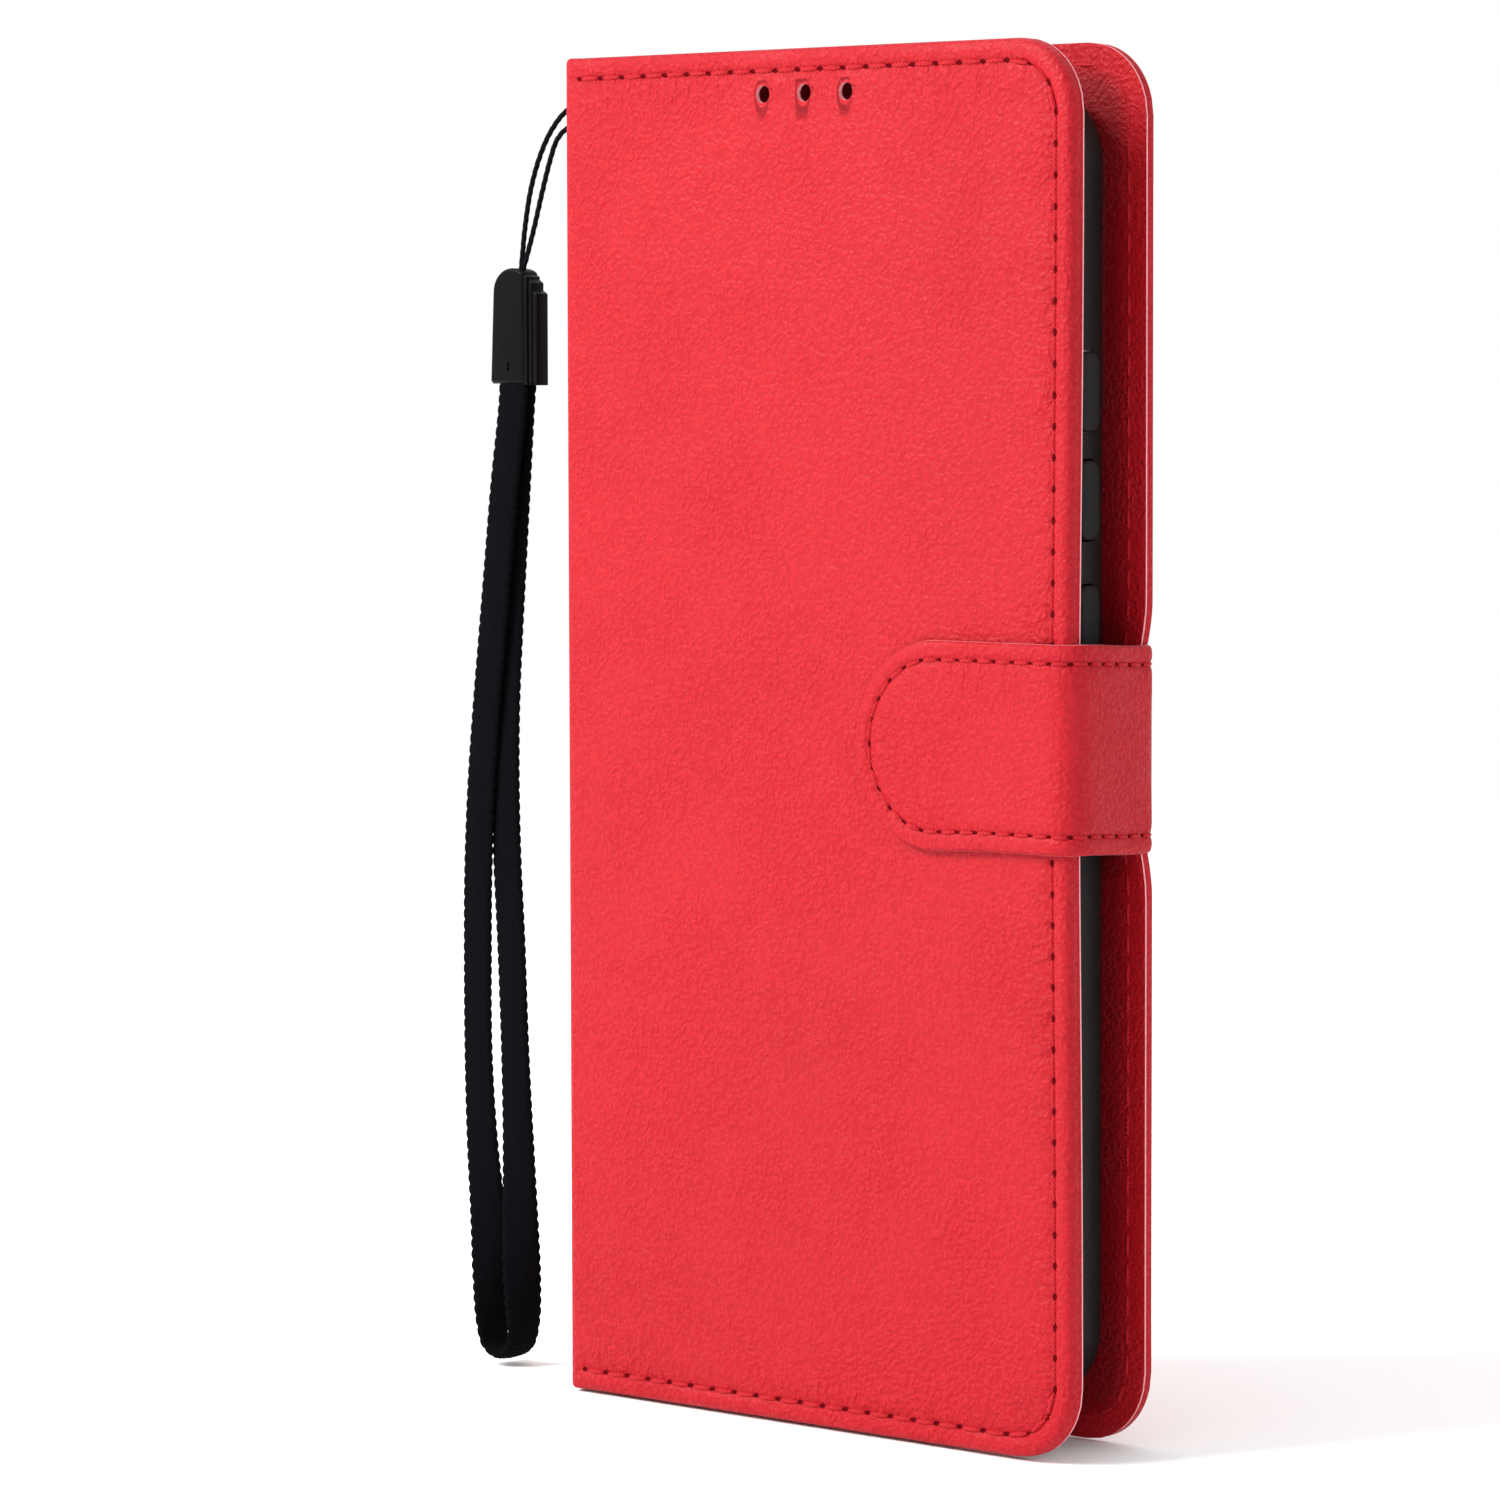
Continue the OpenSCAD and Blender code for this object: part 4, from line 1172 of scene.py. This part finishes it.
CAP_WIDER = 0.3
left, right, foot, top = crimp_low[0] - CAP_WIDER, crimp_high[0] + CAP_WIDER, crimp_low[2], crimp_high[2]
seam_x = right - 2.1
crown = left + 3.7
dome = [(crown + (seam_x - crown) * math.sin(a), top - .9 * (1 - math.cos(a)))
        for a in np.linspace(math.pi / 2, 0, 6)]
dome += [(crown - (crown - left - .5) * math.sin(a), top - 3.1 * (1 - math.cos(a)))
         for a in np.linspace(0, math.pi / 2, 11)[1:]]
face_plate = plate("crimp cap face", [(left + .3, foot), (seam_x - .2, foot), (seam_x, foot + .3)] + dome
                   + [(left, foot + .4)], crimp_low[1], crimp_high[1], 0.45)
dimple_x = (left + seam_x) / 2 + .3
carve(face_plate, cutter(1, crimp_low[1] - 1, crimp_low[1] + .25,
                         (dimple_x - .16, dimple_x + .16, foot + 1.6, foot + 2.9), .15, cap_plastic, 4))
print("face of the cap:", len(face_plate.data.polygons), "faces")

# %% Ribs and core of the cap
RIB_PLACES = ((seam_x - .3, seam_x + .5, .7), (seam_x + .62, seam_x + 1.25, 1.5),
              (seam_x + 1.37, right, 2.9))
ribs = []
for number, (start, end, drop) in enumerate(RIB_PLACES):
    outline = [(start, foot - .2), (end, foot - .2), (end, top - drop - .45), (start, top - drop)]
    ribs.append(plate(f"crimp cap rib {number + 1}", outline, crimp_low[1] + .2 + .1 * number,
                      crimp_high[1] - .2 - .1 * number, 0.22))
core_outline = [(seam_x - .2, foot + .2), (right - .25, foot + .2), (right - .25, top - 3.6),
                (seam_x - .2, top - 1.2)]
core = plate("crimp cap core", core_outline, crimp_low[1] + .5, crimp_high[1] - .5, 0.1)
cap = [face_plate, *ribs, core]
for piece in cap:
    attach(piece, "spine")
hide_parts("lanyard_crimp")
print("cap:", [piece.name for piece in cap])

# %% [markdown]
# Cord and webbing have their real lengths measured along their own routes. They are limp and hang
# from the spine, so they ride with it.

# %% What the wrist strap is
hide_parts("lanyard_cord")
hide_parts("lanyard_webbing")
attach(cord, "spine")
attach(webbing, "spine")
print("declared:", cord.name, webbing.name)

# %% [markdown]
# The pieces that stay hidden inside keep the shapes of the model. Every node still gets a finish of
# its own, so that nothing shows plain when the case is opened or taken apart.

# %% Finishes for the model's own nodes
FINISH_BY_WORD = {
    "skin": cover_leather, "board": grey_board, "lining": lining_leather, "stitching": red_thread,
    "pocket": pocket_leather, "plate": keeper_steel, "magnet": nickel, "pad": foam_tape,
    "shell": soft_shell, "key": key_plastic, "cord": cord_yarn, "webbing": webbing_yarn,
    "crimp": cap_plastic}
for name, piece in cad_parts.items():
    piece.data.materials.clear()
    piece.data.materials.append(next(FINISH_BY_WORD[word] for word in FINISH_BY_WORD if word in name))
print("finished", len(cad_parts), "nodes")

# %% [markdown]
# ## Floor and light
# The case stands on a pale floor that is the same white as everything round it. The room is white
# too, except for one side at the right front that is a little darker, so that the clasp's side and
# the lining fall into shade. The colours are shown as they are, without a film look.

# %% Floor and room
bpy.context.scene.view_settings.view_transform = "Standard"
FLOOR_SIZE, FLOOR_GAP = 1.8, 0.0004
floor_level = min(metres([0, 0, 0])[2], 0.0) - FLOOR_GAP
bpy.ops.mesh.primitive_plane_add(size=FLOOR_SIZE, location=(0, 0, floor_level))
floor = bpy.context.object
floor.name = "floor"
white = Finish("white floor", Base_Color=(0.97, 0.97, 0.97, 1.0), Roughness=0.9, Specular_IOR_Level=0.2)
floor.data.materials.append(white.material)


class Studio(Finish):
    """The light of the room, by direction."""

    def __init__(self, name):
        world = bpy.data.worlds.new(name)
        bpy.context.scene.world = world
        world.use_nodes = True
        self.tree = world.node_tree
        self.shader = self.tree.nodes["Background"]


room = Studio("white room")
DARK_SIDE, SIDE_SHADE = (0.80, -0.60, 0.0), (0.62, 0.62, 0.62)
outlook = room.node("ShaderNodeTexCoord", output=0)
to_dark_side = room.node("ShaderNodeVectorMath", {"operation": "DOT_PRODUCT"}, {0: outlook, 1: DARK_SIDE},
                         output=1)
room.drive("Color", room.mix(room.ramp(to_dark_side, 0.25, 0.85), (1.0, 1.0, 1.0), SIDE_SHADE))
print("floor at", round(floor_level * 1000, 2), "mm")

# %% [markdown]
# The main light is soft and comes from the upper left, in front. A wide one hangs high above, and a
# weak one fills in from the right. Each is turned to look at the middle of the case.

# %% Lights
def soft_light(name, place_mm, watts, size):
    light = bpy.data.objects.new(name, bpy.data.lights.new(name, "AREA"))
    light.data.energy, light.data.size = watts, size
    light.location = metres(place_mm)
    towards_case = Vector(metres([42, -9, 85])) - light.location
    light.rotation_euler = towards_case.to_track_quat("-Z", "Y").to_euler()
    bpy.context.collection.objects.link(light)


soft_light("key light", (-350, -700, 650), 12.0, 0.4)
soft_light("top light", (42, 150, 1700), 4.0, 1.2)
soft_light("fill light", (900, -500, 450), 1.6, 0.3)
print("lights:", [light.name for light in bpy.data.lights])
